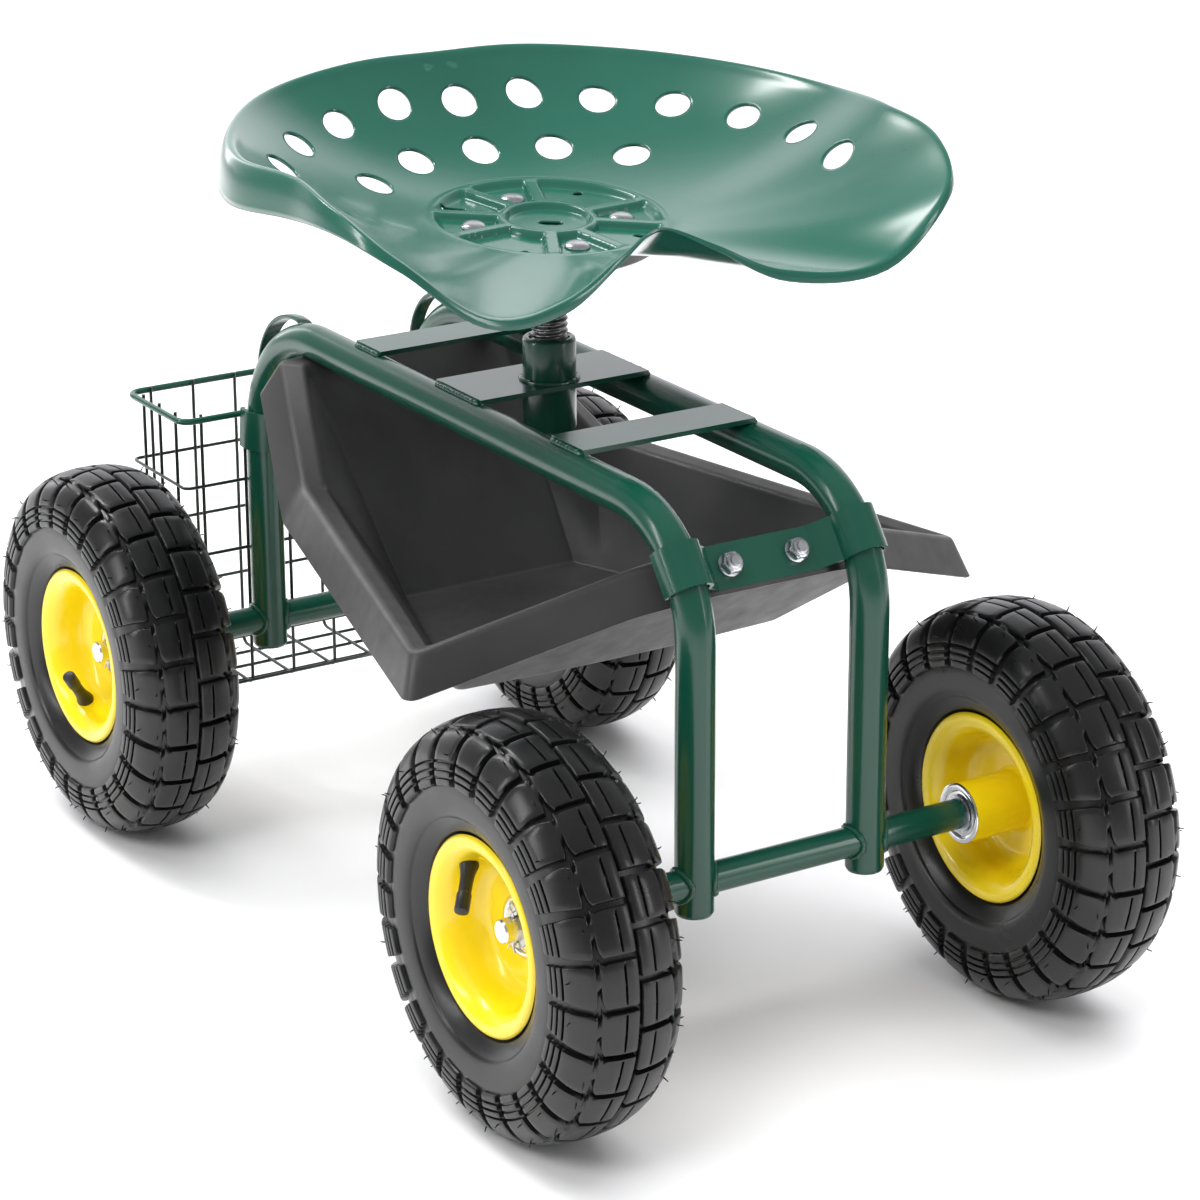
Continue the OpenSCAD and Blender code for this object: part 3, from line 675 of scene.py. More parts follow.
def seat_bolt_heads():
    shape = Shape()
    shank_low, head_low = -24, -RECESS_DEPTH + 0.1
    profile = [
        (4, shank_low), (4, head_low), (8, head_low), (8.1, head_low + 0.8), (7.4, head_low + 1.8),
        (6, head_low + 2.7), (4, head_low + 3.3), (2, head_low + 3.5), (0.4, head_low + 3.5),
    ]
    for angle in BOLT_ANGLES:
        x, y = polar(BOLT_RING, angle)
        shape.lathe(profile, 32, place=lambda p: seat_place((p[0] + x, p[1] + y, p[2])))
    shape.piece("seat_bolt_domes", "seat", ZINC, "zinc_steel", ["seat_bolts"], sharp=40)


seat_shell()
seat_bolt_heads()

# --- nuts ---


def hex_nut(shape, place, across, height, bore, collar=0.0):
    """A chamfered hexagon nut standing on z = 0, with a round collar on top if it locks."""
    corners, steps = across / sqrt(3), 72
    body = height - collar
    sections = [
        (0, corners - 0.5), (0.5, corners), (body - 0.8, corners), (body - 0.1, corners - 0.9),
    ]
    rows = []
    for h, limit in sections:
        row = []
        for k in range(steps):
            t = TAU * k / steps
            flat = across / 2 / cos((t + pi / 6) % (pi / 3) - pi / 6)
            r = min(flat, limit)
            row.append((r * cos(t), r * sin(t), h))
        rows.append(row)
    rings = [(bore + 0.9, body), (bore, body - 0.9), (bore, 0)]
    if collar:
        rings = [
            (across * 0.42, body + 0.1), (across * 0.41, height - 0.7),
            (across * 0.36, height - 0.1), (bore + 0.4, height), (bore, height - 0.3), (bore, 0),
        ]
    rows += [ring(r, h, steps) for r, h in rings]
    shape.grid(rows, close_rows=True, place=place)


WASHER_THICK = 1.4
WASHER = [(3.2, 0.42), (3.62, 1.4), (6.98, 1.4), (7.4, 0.98), (7.4, 0.42), (6.98, 0), (3.62, 0)]
FRONT_BEND_R, REAR_BEND_R = 72, 88  # of the rails' middle lines
STRAP_LEAN = 37  # degrees that the front strap leans back round the front bends
STRAP_FACE = 61.3  # from the bends' centre to the front strap's face
STRAP_BOLT_Y = 23.6


def strap_nuts():
    """Washers and lock nuts on the front strap."""
    centre = Vector((AXLE_X - FRONT_BEND_R, 0, RAIL_TOP - RAIL_R - FRONT_BEND_R))
    turn = Matrix.Rotation(radians(-STRAP_LEAN), 3, "Y")
    shape = Shape()
    for side in (-1, 1):
        def place(p, base=STRAP_FACE, y=side * STRAP_BOLT_Y):
            return tuple(centre + turn @ Vector((base + p[2], y + p[1], -p[0])))

        shape.lathe(WASHER, 64, place=place, closed=True)
        hex_nut(shape, lambda p: place(p, STRAP_FACE + WASHER_THICK), 12.4, 7.2, 3.05, collar=2.4)
    shape.piece("strap_lock_nuts", "frame", ZINC, "zinc_steel", ["strap_nuts"], sharp=38)


def seat_nuts():
    flange_low = -15.2  # underside of the flange, from the pan's middle
    shape = Shape()
    for angle in BOLT_ANGLES:
        x, y = polar(BOLT_RING, angle)

        def place(p, x=x, y=y):
            return seat_place((x + p[0], y + p[1], flange_low - p[2]))

        hex_nut(shape, place, 12.8, 6.4, 4.1)
    shape.piece("seat_hex_nuts", "seat", ZINC, "zinc_steel", ["seat_nuts"], sharp=38)


def rail_lugs():
    """Bowed straps on the rear bends, with ends on the tube and a middle clear of it."""
    bend_x, bend_r = AXLE_X - REAR_BEND_R, REAR_BEND_R + RAIL_R
    bend_z = RAIL_TOP - bend_r
    start, stop, steps = 106, 151, 36  # degrees round the bend from the front
    thick, rise = 2.6, 8.6
    near, far = -8.6, 2.4  # the edges, across the tube from its middle
    shape = Shape()
    for side in (-1, 1):
        rows = []
        for i in range(steps + 1):
            a = radians(start + (stop - start) * i / steps)
            bow = sin(pi * i / steps) ** 0.8
            top, under = [], []
            for across in (near, -8.2, -6, -3, 0, 2.0, far):
                drop = (RAIL_R - sqrt(RAIL_R ** 2 - across ** 2)) * (1 - 0.8 * bow)
                rim = 0.5 if across in (near, far) else 0
                for row, lift in ((top, thick - rim), (under, rim)):
                    r = bend_r - drop + rise * bow + 0.1 + lift
                    x, z = -bend_x + r * cos(a), bend_z + r * sin(a)
                    row.append((x, side * (RAIL_Y + across), z))
            rows.append(top + under[::-1])
        shape.grid(rows, caps=True)
    shape.piece("bowed_lugs", "frame", GREEN, "frame_paint", ["rail_lugs"], sharp=50)


strap_nuts()
seat_nuts()
rail_lugs()

# --- threaded post and its sleeve ---

THREAD_TOP = 451.5
PITCH = 4.0
# One thread: place along the pitch, and how far out it is from the root to the crest
TOOTH = [(0, 0), (0.14, 0), (0.38, 1), (0.62, 1), (0.86, 0), (1, 0)]


def threaded_post():
    low, high = box_mm("seat_screw")
    root, crest, neck, sides = 10.1, 11.95, 7.9, 40
    rows = []
    z = low.z + 0.01
    while z < THREAD_TOP:
        row = []
        fade = step(0, 3, z - low.z) * step(0, 3, THREAD_TOP - z)
        for k in range(sides):
            t = ((z - low.z) / PITCH - k / sides) % 1
            r = root + (crest - root) * table_value(TOOTH, t) * fade
            row.append((r * cos(TAU * k / sides), r * sin(TAU * k / sides), z))
        rows.append(row)
        z += PITCH / 10
    ends = [(root - 0.2, THREAD_TOP), (neck, THREAD_TOP + 0.1), (neck, high.z - 0.05)]
    rows += [ring(r, h, sides) for r, h in ends]
    shape = Shape()
    shape.grid(rows, caps=True, place=lambda p: (p[0] + POST_X, p[1], p[2]))
    shape.piece("threaded_post", "screw", THREAD_STEEL, "dark_steel", ["seat_screw"], sharp=45)


def rounded_sleeve():
    r_out, r_in = 17, 12.2
    low, high = (corner.z for corner in box_mm("post_sleeve"))
    profile = [
        (r_in, low + 0.8), (r_in, high - 2.4), (r_in + 0.7, high - 0.9), (r_in + 1.4, high - 0.1),
        (r_out - 2.6, high), (r_out - 1.3, high - 0.3), (r_out - 0.4, high - 1.1),
        (r_out, high - 2.4), (r_out, low + 0.8), (r_out - 0.5, low), (r_in + 0.5, low),
    ]
    shape = Shape()
    shape.lathe(profile, 72, place=lambda p: (p[0] + POST_X, p[1], p[2]), closed=True)
    shape.piece("rounded_sleeve", "frame", GREEN, "frame_paint", ["post_sleeve"], sharp=50)


threaded_post()
rounded_sleeve()

# --- weld beads ---

BEAD_R, AXLE_BEAD_R = 2.1, 1.9


def bar_welds(shape):
    """Beads along both ends of the crossbars."""
    for end in ("front", "middle", "rear"):
        low, high = box_mm(end + "_crossbar")
        x0, x1, z = low.x + 1, high.x - 1, RAIL_TOP + 0.5
        for side in (-1, 1):
            y = side * (RAIL_Y + 0.6)
            path = line((x0, y, z), (x1, y, z), int((high.x - low.x) / 1.3))
            shape.bead(path, BEAD_R, seed=int(low.x) + side + 500)


def axle_welds(shape):
    """Beads round the axle tubes on both sides of each leg."""
    tube_r, gap, steps = 9.5, 0.4, 42
    for x in (-AXLE_X, AXLE_X):
        for y in (-RAIL_Y, RAIL_Y):
            for side in (-1, 1):
                path = []
                for k in range(steps):
                    t = TAU * k / steps
                    off = sqrt(RAIL_R ** 2 - (tube_r * cos(t)) ** 2)
                    path.append((
                        x + (tube_r + gap) * cos(t), y + side * (off + gap),
                        AXLE_Z + (tube_r + gap) * sin(t),
                    ))
                shape.bead(path, AXLE_BEAD_R, closed=True, seed=int(x + y + side) + 900)


def welds():
    shape = Shape()
    bar_welds(shape)
    path = [(POST_X + x, y, z) for x, y, z in ring(17.6, BAR_TOP + 0.4, 66)]
    shape.bead(path, BEAD_R, closed=True, seed=7)
    axle_welds(shape)
    shape.piece("weld_beads", "frame", GREEN, "frame_paint", sharp=80)


welds()

# --- tool tray ---

TRAY_FLOOR_Z = 201
# Corners of one side of the tray, from the back to the front middle
TRAY_FLOOR = [
    (x, y, TRAY_FLOOR_Z) for x, y in ((-71, 66), (-40, 76.5), (92, 120), (96, 60), (97, 30))
]
TRAY_INNER = [(-183, 76, 334.3), (-103, 105, 274), (168, 184, 264), (219, 74, 307), (231, 44, 316)]
TRAY_OUTER = [
    (-196.5, 85, 334.2), (-112, 115, 276), (176, 195, 266), (227, 80, 310), (240.5, 46, 318.5),
]
TRAY_SKIRT = [(-202, 97, 314), (-114, 128, 253), (184, 204, 241), (241, 84, 288), (256.5, 46, 297)]
TRAY_CORNERS = [4, 7, 8, 8, 6]  # how far each corner is rounded
TRAY_WALL = 2.6


def arc_points(a, corner, b, steps):
    """A rounded turn from a to b, drawn towards the corner between them."""
    turns = [k / steps for k in range(steps + 1)]
    return [a * (1 - t) ** 2 + corner * 2 * t * (1 - t) + b * t * t for t in turns]


def rounded_ring(half):
    """The closed ring of a half outline and its mirror, with its corners rounded."""
    corners = [Vector(p) for p in half] + [Vector((x, -y, z)) for x, y, z in reversed(half)]
    cuts = TRAY_CORNERS + TRAY_CORNERS[::-1]
    n = len(corners)
    out = []
    for i, p in enumerate(corners):
        before, after = corners[i - 1], corners[(i + 1) % n]
        b = toward(p, after, cuts[i])
        out += arc_points(toward(p, before, cuts[i]), p, b, 6)
        end = toward(after, p, cuts[(i + 1) % n])
        out += [b + (end - b) * k / 5 for k in range(1, 5)]
    return out


def soft_fold(before, at, after, cut, steps=5):
    """Rings that round a loft's fold at one of its rings, and one beyond each end."""
    beyond, most = cut * 1.25, 0.45
    columns = []
    for p, q, r in zip(before, at, after):
        a = toward(q, p, min(cut, (p - q).length * most))
        b = toward(q, r, min(cut, (r - q).length * most))
        columns.append(arc_points(a, q, b, steps))
    first = [toward(q, p, beyond) for p, q in zip(before, at)]
    last = [toward(q, r, beyond) for q, r in zip(at, after)]
    return [first, *(list(row) for row in zip(*columns)), last]


def tool_tray():
    floor, inner = rounded_ring(TRAY_FLOOR), rounded_ring(TRAY_INNER)
    outer, skirt = rounded_ring(TRAY_OUTER), rounded_ring(TRAY_SKIRT)
    middle = Vector((10, 0, TRAY_FLOOR_Z))
    inward = [q + (middle - q) * 0.2 for q in floor]
    wall = [[a + (b - a) * k / 6 for a, b in zip(floor, inner)] for k in range(1, 6)]
    rows = [
        inward, *soft_fold(inward, floor, inner, 4), *wall, *soft_fold(floor, inner, outer, 1.8),
        *soft_fold(inner, outer, skirt, 2.4), skirt,
    ]
    shape = Shape()
    shape.grid([[tuple(p) for p in row] for row in rows])
    shape.faces.append(list(range(len(floor)))[::-1])
    shape.faces = [f[::-1] for f in shape.faces]
    obj = shape.piece("tool_tray", "frame", TRAY_PLASTIC, "tray_plastic", ["tray"], 60, TRAY_WALL)
    flats = obj.modifiers.new("flats", "WEIGHTED_NORMAL")
    flats.weight = 100


tool_tray()

# --- wire basket ---


def rounded_path(corners, radius, closed=False, steps=6):
    """A path of straight runs with its corners turned as arcs."""
    pts = [Vector(p) for p in corners]
    n = len(pts)
    out = []
    for i, p in enumerate(pts):
        if not closed and i in (0, n - 1):
            out.append(tuple(p))
            continue
        a, b = toward(p, pts[i - 1], radius), toward(p, pts[(i + 1) % n], radius)
        out += [tuple(q) for q in arc_points(a, p, b, steps)]
    return out


def rectangle(x0, x1, y0, y1, z):
    return [(x0, y0, z), (x1, y0, z), (x1, y1, z), (x0, y1, z)]


def basket_wires(x0, x1, y0, y1, wire_r):
    """U-shaped wires both ways and level hoops outside them, which just bite each other."""
    low, high = box_mm("basket_mesh")
    bite = 0.1
    floor_z, top_z = low.z + 3 * wire_r - bite, high.z
    shape = Shape()
    for i in range(-3, 4):
        y = 33 * i
        path = [(x0, y, top_z), (x0, y, floor_z), (x1, y, floor_z), (x1, y, top_z)]
        shape.tube(rounded_path(path, 7), wire_r, 10)
    grow = 2 * (wire_r - bite)
    low_z = floor_z - grow
    for i in (-1, 0, 1):
        x = (x0 + x1) / 2 + 25 * i
        path = [(x, y0, top_z), (x, y0, low_z), (x, y1, low_z), (x, y1, top_z)]
        shape.tube(rounded_path(path, 9), wire_r, 10)
    for k in range(4):
        loop = rectangle(x0 - grow, x1 + grow, y0 - grow, y1 + grow, low.z + 7 + 50 * k)
        shape.tube(rounded_path(loop, 6, closed=True), wire_r, 10, closed=True)
    shape.piece("basket_wires", "basket", WIRE_COAT, "basket_wire", ["basket_mesh"])


def basket_hooks(x, z):
    """Two wires from the rim that hang over the rear strap."""
    low, high = box_mm("basket_hooks")
    r = 1.6
    over, front = high.z - r, high.x - r
    shape = Shape()
    for y in (-25, 25):
        path = [(x, y, z), (x, y, over), (front, y, over), (front, y, low.z + 0.1)]
        shape.tube(rounded_path(path, 2.2), r, 12)
    shape.piece("basket_hook_wires", "basket", GREEN, "frame_paint", ["basket_hooks"])


def wire_basket():
    low, high = box_mm("basket_rim")
    rim_r, wire_r = 2.3, 1.2
    rim_z = (low.z + high.z) / 2
    x0, x1, y0, y1 = low.x + rim_r, high.x - rim_r, low.y + rim_r, high.y - rim_r
    rim = Shape()
    path = rounded_path(rectangle(x0, x1, y0, y1, rim_z), 11, closed=True, steps=8)
    rim.tube(path, rim_r, 16, closed=True)
    rim.piece("basket_rim_wire", "basket", GREEN, "frame_paint", ["basket_rim"])
    inset = rim_r + wire_r + 0.05
    basket_wires(x0 + inset, x1 - inset, y0 + inset, y1 - inset, wire_r)
    basket_hooks(x1, rim_z + 1)


wire_basket()

# --- wheels ---

# Tyre from the middle of the tread to the bead: radius, distance from the middle
TYRE_OUTSIDE = [
    (127, 0), (126.9, 5), (125.8, 15), (123, 24), (119, 30.4), (114, 34.6), (108, 37.6),
    (100, 39.6), (90, 40), (80, 38.6), (72, 36.2), (66, 33.2), (62, 30), (60.6, 27.9),
    (57.3, 28.6), (53.3, 26.8), (52.5, 19),
]
TYRE_INSIDE = [
    (58, 20), (64, 25), (72, 30), (82, 34), (92, 35.2), (102, 33.8), (110, 29.5), (115.5, 23),
    (118.5, 14), (119.8, 0),
]
PITCHES = 26  # tread blocks round each side of the tyre
LINES = 12  # mesh lines to a block
# Lines across the tread: distance along the outside, and how far the rubber stands up
# there, from 0 in a groove to 1 on a block
TREAD = [
    (0.9, 0), (1.4, 0.9), (2.4, 1), (5.5, 1), (8.5, 1), (8.9, 0.97), (9.2, 0.15), (10.2, 0.15),
    (10.5, 0.97), (10.9, 1), (15, 1), (19, 1), (21.5, 1), (23.3, 1), (24.1, 0.92), (24.7, 0),
    (26.3, 0), (26.9, 0.92), (27.9, 1), (31, 1), (35, 1), (39, 1), (43, 1), (46.5, 1),
    (47.3, 0.95), (47.7, 0.4), (48.7, 0.4), (49.1, 0.95), (50, 1), (51.6, 1), (52.2, 0.95),
    (52.6, 0.4), (53.6, 0.4), (54, 0.95), (54.8, 1), (56.2, 1), (56.8, 0.95), (57.2, 0.4),
    (58.2, 0.4), (58.6, 0.95), (59.4, 1), (61.5, 1), (62.4, 0.9), (63, 0),
]
TREAD_END = 63.5  # along the outside, where the blocks stop
# Spans along the outside of the slit across a block and of the notch beside it
SLIT = (8.9, 10.6)
NOTCH = (24.4, 26.6)
# Tables over the distance along the outside: height of the blocks above the grooves,
BLOCK_HEIGHT = [
    (0, 4.2), (20, 4.4), (46, 4.0), (62, 2.6), (66, 1.6), (78, 0), (82, 0), (82.6, 0.7), (96, 0.7),
]
# sideways shift of the blocks' edges, in blocks,
EDGE_SHIFT = [(19, 0), (22.5, -0.03), (24.4, 0.15), (26.5, 0.08), (28, -0.05), (32, 0), (63, 0.06)]
# and half the width of the groove between two blocks, in blocks
GROOVE = [(0, 0.05), (21, 0.055), (25.5, 0.12), (30, 0.06), (45, 0.09), (63, 0.14)]


def tyre_curve():
    """The tyre's outside by the distance along it: point and outward normal."""
    pts = spline(TYRE_OUTSIDE, 8)
    pts = [(min(r, TYRE_R - 0.05), min(w, 39.95)) for r, w in pts]
    run = [0.0]
    for p, q in zip(pts, pts[1:]):
        run.append(run[-1] + hypot(q[0] - p[0], q[1] - p[1]))

    def at(s):
        i = min(max(k for k in range(len(run)) if run[k] <= s), len(run) - 2)
        t = (s - run[i]) / max(run[i + 1] - run[i], 1e-9)
        r, w = blend_points(pts[i], pts[i + 1], t)
        a, b = pts[max(i - 1, 0)], pts[min(i + 2, len(pts) - 1)]
        dr, dw = b[0] - a[0], b[1] - a[1]
        size = hypot(dr, dw)
        return r, w, dw / size, -dr / size

    return at, run[-1]


def block_lines(s):
    """Places of a block's mesh lines round the tyre, from 0 to 1."""
    g = table_value(GROOVE, s)
    wall, soft = 0.018, 0.05
    inner = [g + soft + (1 - 2 * g - 2 * soft) * k / 6 for k in range(7)]
    return [0, g, g + wall, *inner, 1 - g - wall, 1 - g]


def rubber_height(k, s, up):
    """How far the rubber stands up at line k of a block."""
    side = [0, 0, 0.92, 1, 1, 1, 1, 1, 1, 1, 0.92, 0][k]
    if s > TREAD_END:
        return 0
    if SLIT[0] < s < SLIT[1]:
        up = max(up, 0.8 if k == 6 else 0) if 4 <= k <= 8 else 1
    if NOTCH[0] < s < NOTCH[1]:
        up = 0 if k <= 4 or k >= 8 else 0.96
    return side * up


def rim_lines(length):
    """Places of the mesh lines from the blocks to the bead, closer at the rim line."""
    lines = []
    s = 66.0
    while s < length - 0.5:
        lines.append(s)
        s += 0.6 if 81 < s < 83.4 else 1.8 if s < 90 else 0.9
    return lines


def tread_rows(at, rows_s, sign):
    """One side of the tyre's outside; the other side's blocks are half a block on."""
    shift = 0 if sign > 0 else 0.5
    rows = []
    for s, up in rows_s:
        r, w, nr, nw = at(s)
        row = []
        places = block_lines(s)
        slide = table_value(EDGE_SHIFT, s) * sign
        for p in range(PITCHES):
            for k in range(LINES):
                depth = table_value(BLOCK_HEIGHT, s) * (1 - rubber_height(k, s, up))
                a = TAU * (p + places[k] + slide + shift) / PITCHES
                rr, ww = r - nr * depth, w - nw * depth
                row.append((rr * cos(a), rr * sin(a), sign * ww))
        rows.append(row)
    return rows


def tyre_shape(place):
    at, length = tyre_curve()
    rows_s = TREAD + [(s, 0) for s in rim_lines(length)]
    right, left = tread_rows(at, rows_s, 1), tread_rows(at, rows_s, -1)
    n = PITCHES * LINES
    turned = [[row[(j - LINES // 2) % n] for j in range(n)] for row in left]
    groove_r = TYRE_R - BLOCK_HEIGHT[0][1]
    middle = []
    for p in range(PITCHES):
        for u in block_lines(0):
            a = TAU * (p + u) / PITCHES
            middle.append((groove_r * cos(a), groove_r * sin(a), 0.0))
    inner = TYRE_INSIDE + [(r, -w) for r, w in reversed(TYRE_INSIDE[:-1])]
    rows = turned[::-1] + [middle] + right + [ring(r, w, n) for r, w in inner]
    shape = Shape()
    shape.grid(rows, close_rows=True, place=place)
    return shape, at


def vent_hairs(shape, at, place, seed):
    """Short hairs of rubber left by the mould's vents."""
    rng = random.Random(seed)
    skipped, widest = 0.3, 39.4
    radii = (0.55, 0.45, 0.3)
    for sign in (-1, 1):
        for p in range(PITCHES):
            for s, reach in ((30, 3.4), (44, 3.0), (60, 2.2)):
                if rng.random() < skipped:
                    continue
                r, w, nr, nw = at(s)
                a = TAU * (p + rng.uniform(0.25, 0.75) + (0 if sign > 0 else 0.5)) / PITCHES
                lean = rng.uniform(-0.5, 0.5)
                points = []
                for t in (-0.3, 0.4, 1.0):
                    rr, ww = r + nr * reach * t, w + nw * reach * t
                    b = a + lean * max(t, 0) * reach / r
                    points.append((rr * cos(b), rr * sin(b), sign * min(ww, widest)))
                shape.tube(points, lambda i: radii[i], 6, place=place)


HUB_R = 19.05
# A pressed half of the rim, from the hub out and back: radius, distance from the middle
RIM_FACE = [
    (HUB_R, 2.5), (30, 2.5), (35.5, 3.1), (39.8, 5.6), (42.6, 10), (44.8, 18), (47.4, 24.6),
    (51.4, 29), (55.6, 30.8), (58.8, 30.6), (60.4, 29.2),
]
RIM_BACK = [
    (60.2, 28.4), (57.3, 29.0), (53.2, 27.4), (50, 24), (47, 17.6), (45, 9.4), (42.6, 3.5),
    (38, 0.2), (HUB_R, 0),
]
# The weld fillet between the hub and the back of its disc
HUB_WELD = [(HUB_R, -2.5), (21.25, -2.5), (20.04, -3.49), (HUB_R, -4.7)]


def rim_shape(place, sign):
    """One pressed half of the rim, with its rolled flange."""
    profile = spline(RIM_FACE, 5) + RIM_BACK
    shape = Shape()
    shape.lathe([(r, sign * w) for r, w in profile], 96, place=place, closed=True)
    return shape


VALVE_LEAN = 32  # degrees outwards from straight to the axle
VALVE_FOOT = (45.4, 0, 17.5)  # where it leaves the rim, for a valve at 0 degrees
# Radius, distance out from the foot: grommet, stem, cap
VALVE = [
    (0.3, -12), (3.7, -12), (3.8, -1), (5.5, -0.4), (5.9, 1.2), (5.6, 3), (4.9, 5.5), (4.2, 9),
    (3.95, 14), (3.9, 20.4), (4.25, 20.7), (4.45, 21.2), (4.45, 31.9), (4.15, 32.7), (3.3, 33),
    (0.3, 33),
]


def valve_shape(place, turn):
    lean = radians(VALVE_LEAN)
    along = Vector((-cos(lean), 0, sin(lean)))
    across = Vector((sin(lean), 0, cos(lean)))
    spin = Matrix.Rotation(radians(turn), 3, "Z")

    def valve_place(p):
        local = Vector(VALVE_FOOT) + along * p[2] + across * p[0] + Vector((0, p[1], 0))
        return place(tuple(spin @ local))

    shape = Shape()
    shape.lathe(VALVE, 28, place=valve_place)
    return shape


# Section of a flanged bearing: radius, distance outwards from the end of the hub
BEARING = [
    (7.65, -10.6), (7.65, 1.1), (8.0, 1.5), (9.7, 1.5), (10.1, 1.2), (10.2, 0.4), (10.5, 0.2),
    (12.4, 0.5), (14.4, 0.25), (14.7, 0.1), (14.9, 0.8), (15.4, 1.4), (17.0, 1.5), (18.7, 1.35),
    (19.2, 0.9), (19.25, 0.1), (17.4, 0.05), (17.4, -10.6),
]
HUB_OUT, HUB_IN = 2.5, -45  # ends of the hub, from the middle of the tyre


def bearing_pair(place):
    shape = Shape()
    for end, sign in ((HUB_OUT, 1), (HUB_IN, -1)):
        shape.lathe([(r, end + sign * h) for r, h in BEARING], 64, place=place, closed=True)
    return shape


def wheel(name, at_x, at_y, turn):
    body = f"{name}_wheel"

    def place(p):
        x, y, w = p
        return (at_x * AXLE_X + x, at_y * (WHEEL_Y + w), AXLE_Z + (y if at_y < 0 else -y))

    def add(shape, piece_name, material, slot, node, sharp):
        shape.piece(f"{name}_{piece_name}", body, material, slot, [f"{name}_{node}"], sharp=sharp)

    tyre, at = tyre_shape(place)
    vent_hairs(tyre, at, place, seed=int(turn))
    add(tyre, "treaded_tyre", TYRE_RUBBER, "tyre_rubber", "tyre", 62)
    add(rim_shape(place, 1), "rim_face", RIM_YELLOW, "rim_paint", "outer_rim", 50)
    back = rim_shape(place, -1)
    back.lathe(HUB_WELD, 72, place=place, closed=True)
    add(back, "rim_back", RIM_YELLOW, "rim_paint", "inner_rim", 50)
    add(bearing_pair(place), "flanged_bearings", CHROME, "bearing_chrome", "bearings", 60)
    add(valve_shape(place, turn), "rubber_valve", VALVE_RUBBER, "valve_rubber", "valve", 40)


for wheel_name, (at_x, at_y, valve_turn) in WHEELS.items():
    wheel(wheel_name, at_x, at_y, valve_turn)


# --- split pins ---


def split_pins():
    wire, eye, half = 0.72, 3.0, 0.74
    out = 8.4  # from the middle of the tyre
    shape = Shape()
    for x in (-AXLE_X, AXLE_X):
        for side in (-1, 1):
            y = side * (WHEEL_Y + out)
            path = [(x - half - a, y, AXLE_Z - h) for a, h in ((4.5, 14.2), (2.6, 11.6), (0, 9))]
            path += line((x - half, y, AXLE_Z - 6), (x - half, y, AXLE_Z + 9), 5)
            for k in range(17):
                t = radians(250 - 320 * k / 16)
                path.append((x + eye * cos(t), y, AXLE_Z + 14 + eye * sin(t)))
            path += line((x + half, y, AXLE_Z + 9), (x + half, y, AXLE_Z - 9), 6)
            path += [(x + half + a, y, AXLE_Z - h) for a, h in ((0.6, 11.5), (2, 14))]
            shape.tube(path, wire, 10)
    shape.piece("split_pins", "frame", ZINC, "zinc_steel", ["cotter_pins"])


split_pins()

# --- floor, light, camera ---


def floor():
    mesh = bpy.data.meshes.new("floor")
    half = 14
    mesh.from_pydata(rectangle(-half, half, -half, half, 0), [], [(0, 1, 2, 3)])
    obj = new_object("floor", mesh)
    m = Nodes("studio_floor")
    cloud = m.span(m.noise(1.5, 3), 0.3, 0.7, 0, 1)
    m.colour(m.mix(cloud, (0.86, 0.86, 0.865), (0.88, 0.88, 0.885)))
    m.roughness(m.span(m.noise(3, 3), 0.3, 0.7, 0.5, 0.6))
    mesh.materials.append(m.material)


def area(name, at, aim, size, power, mirrored=True):
    """A rectangular light; one that isn't mirrored shows in no reflection."""
    light = bpy.data.lights.new(name, "AREA")
    light.shape = "RECTANGLE"
    light.size, light.size_y = size
    light.energy = power
    obj = new_object(name, light)
    obj.location = at
    obj.visible_glossy = mirrored
    obj.rotation_euler = (Vector(aim) - Vector(at)).to_track_quat("-Z", "Y").to_euler()


BACKDROP_SIDE = (-0.85, 0.53, 0.0)  # direction of the bright side of the room
# How far a direction points that way, and how bright the room is there
ROOM_GLOW = {"From Min": 0.4, "From Max": 1.0, "To Min": 0.34, "To Max": 1.45}


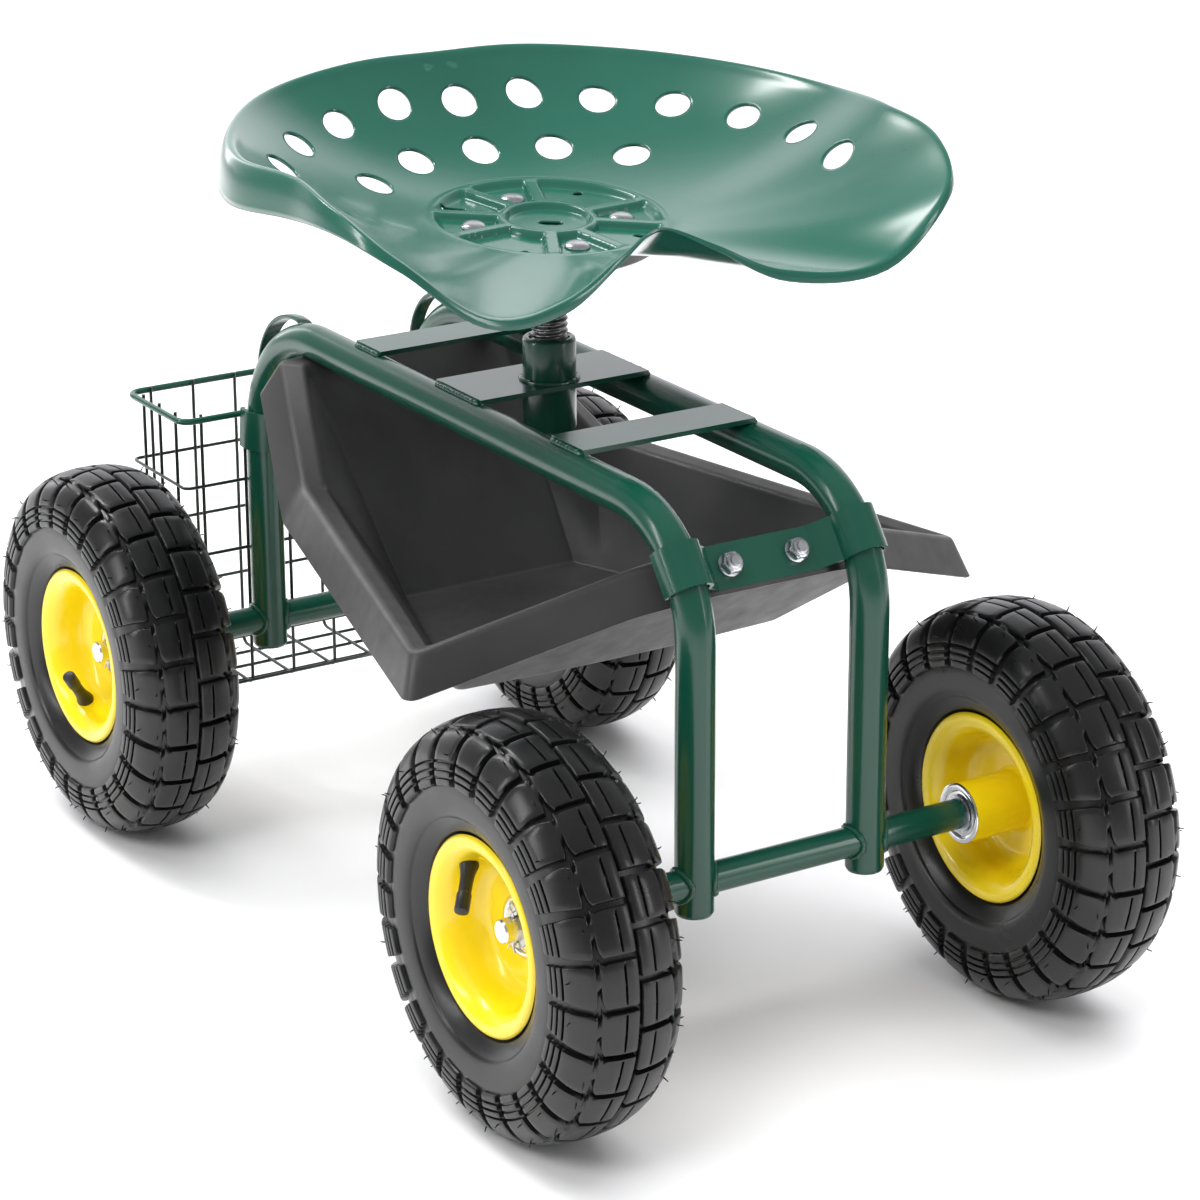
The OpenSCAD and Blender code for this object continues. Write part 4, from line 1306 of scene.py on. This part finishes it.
def studio():
    """A room, bright behind the object and dim on the camera's side, and area lights."""
    world = bpy.data.worlds.new("studio")
    world.use_nodes = True
    tree = world.node_tree
    back = tree.nodes["Background"]
    place = tree.nodes.new("ShaderNodeTexCoord")
    dot = tree.nodes.new("ShaderNodeVectorMath")
    dot.operation = "DOT_PRODUCT"
    dot.inputs[1].default_value = BACKDROP_SIDE
    tree.links.new(place.outputs["Generated"], dot.inputs[0])
    glow = tree.nodes.new("ShaderNodeMapRange")
    glow.interpolation_type = "SMOOTHSTEP"
    for key, value in ROOM_GLOW.items():
        glow.inputs[key].default_value = value
    tree.links.new(dot.outputs["Value"], glow.inputs["Value"])
    tree.links.new(glow.outputs["Result"], back.inputs["Strength"])
    back.inputs["Color"].default_value = (0.97, 0.97, 1, 1)
    bpy.context.scene.world = world
    area("top_box", (-0.6, 0.4, 4.0), (-0.6, 0.4, 0), (5.6, 5.6), 320, mirrored=False)
    area("key", (1.2, -2.2, 2.4), (0, 0, 0.3), (1.4, 1.0), 40, mirrored=False)
    area("high_strip", (-1.75, -0.85, 2.7), (0.05, 0.1, 0.5), (0.4, 1.3), 28)
    area("back_strip", (-3.0, -0.2, 1.1), (0, 0, 0.4), (0.4, 1.6), 6)
    area("left_strip", (-0.6, -2.6, 1.3), (0, 0, 0.3), (0.3, 1.8), 20)
    area("right_strip", (2.4, 1.6, 1.1), (0, 0, 0.3), (0.3, 1.6), 12)
    bpy.context.scene.view_settings.view_transform = "Standard"


CAMERA_AT = (2.071, -1.246, 1.079)
CAMERA_TURN = (58.12, 19.78, -0.2)  # yaw, pitch and roll in degrees
CAMERA_LENS, CAMERA_SENSOR = 118.85, 36


def camera():
    data = bpy.data.cameras.new("camera")
    data.lens = CAMERA_LENS
    data.sensor_width = CAMERA_SENSOR
    data.clip_end = 50
    obj = new_object("camera", data)
    yaw, pitch, roll = (radians(a) for a in CAMERA_TURN)
    level = cos(pitch)
    back = Vector((sin(yaw) * level, -cos(yaw) * level, sin(pitch)))
    right = Vector((0, 0, 1)).cross(back).normalized()
    up = back.cross(right)
    c, s = cos(roll), sin(roll)
    turn = Matrix((right * c + up * s, up * c - right * s, back)).transposed().to_4x4()
    obj.matrix_world = Matrix.Translation(CAMERA_AT) @ turn
    bpy.context.scene.camera = obj


floor()
studio()
camera()
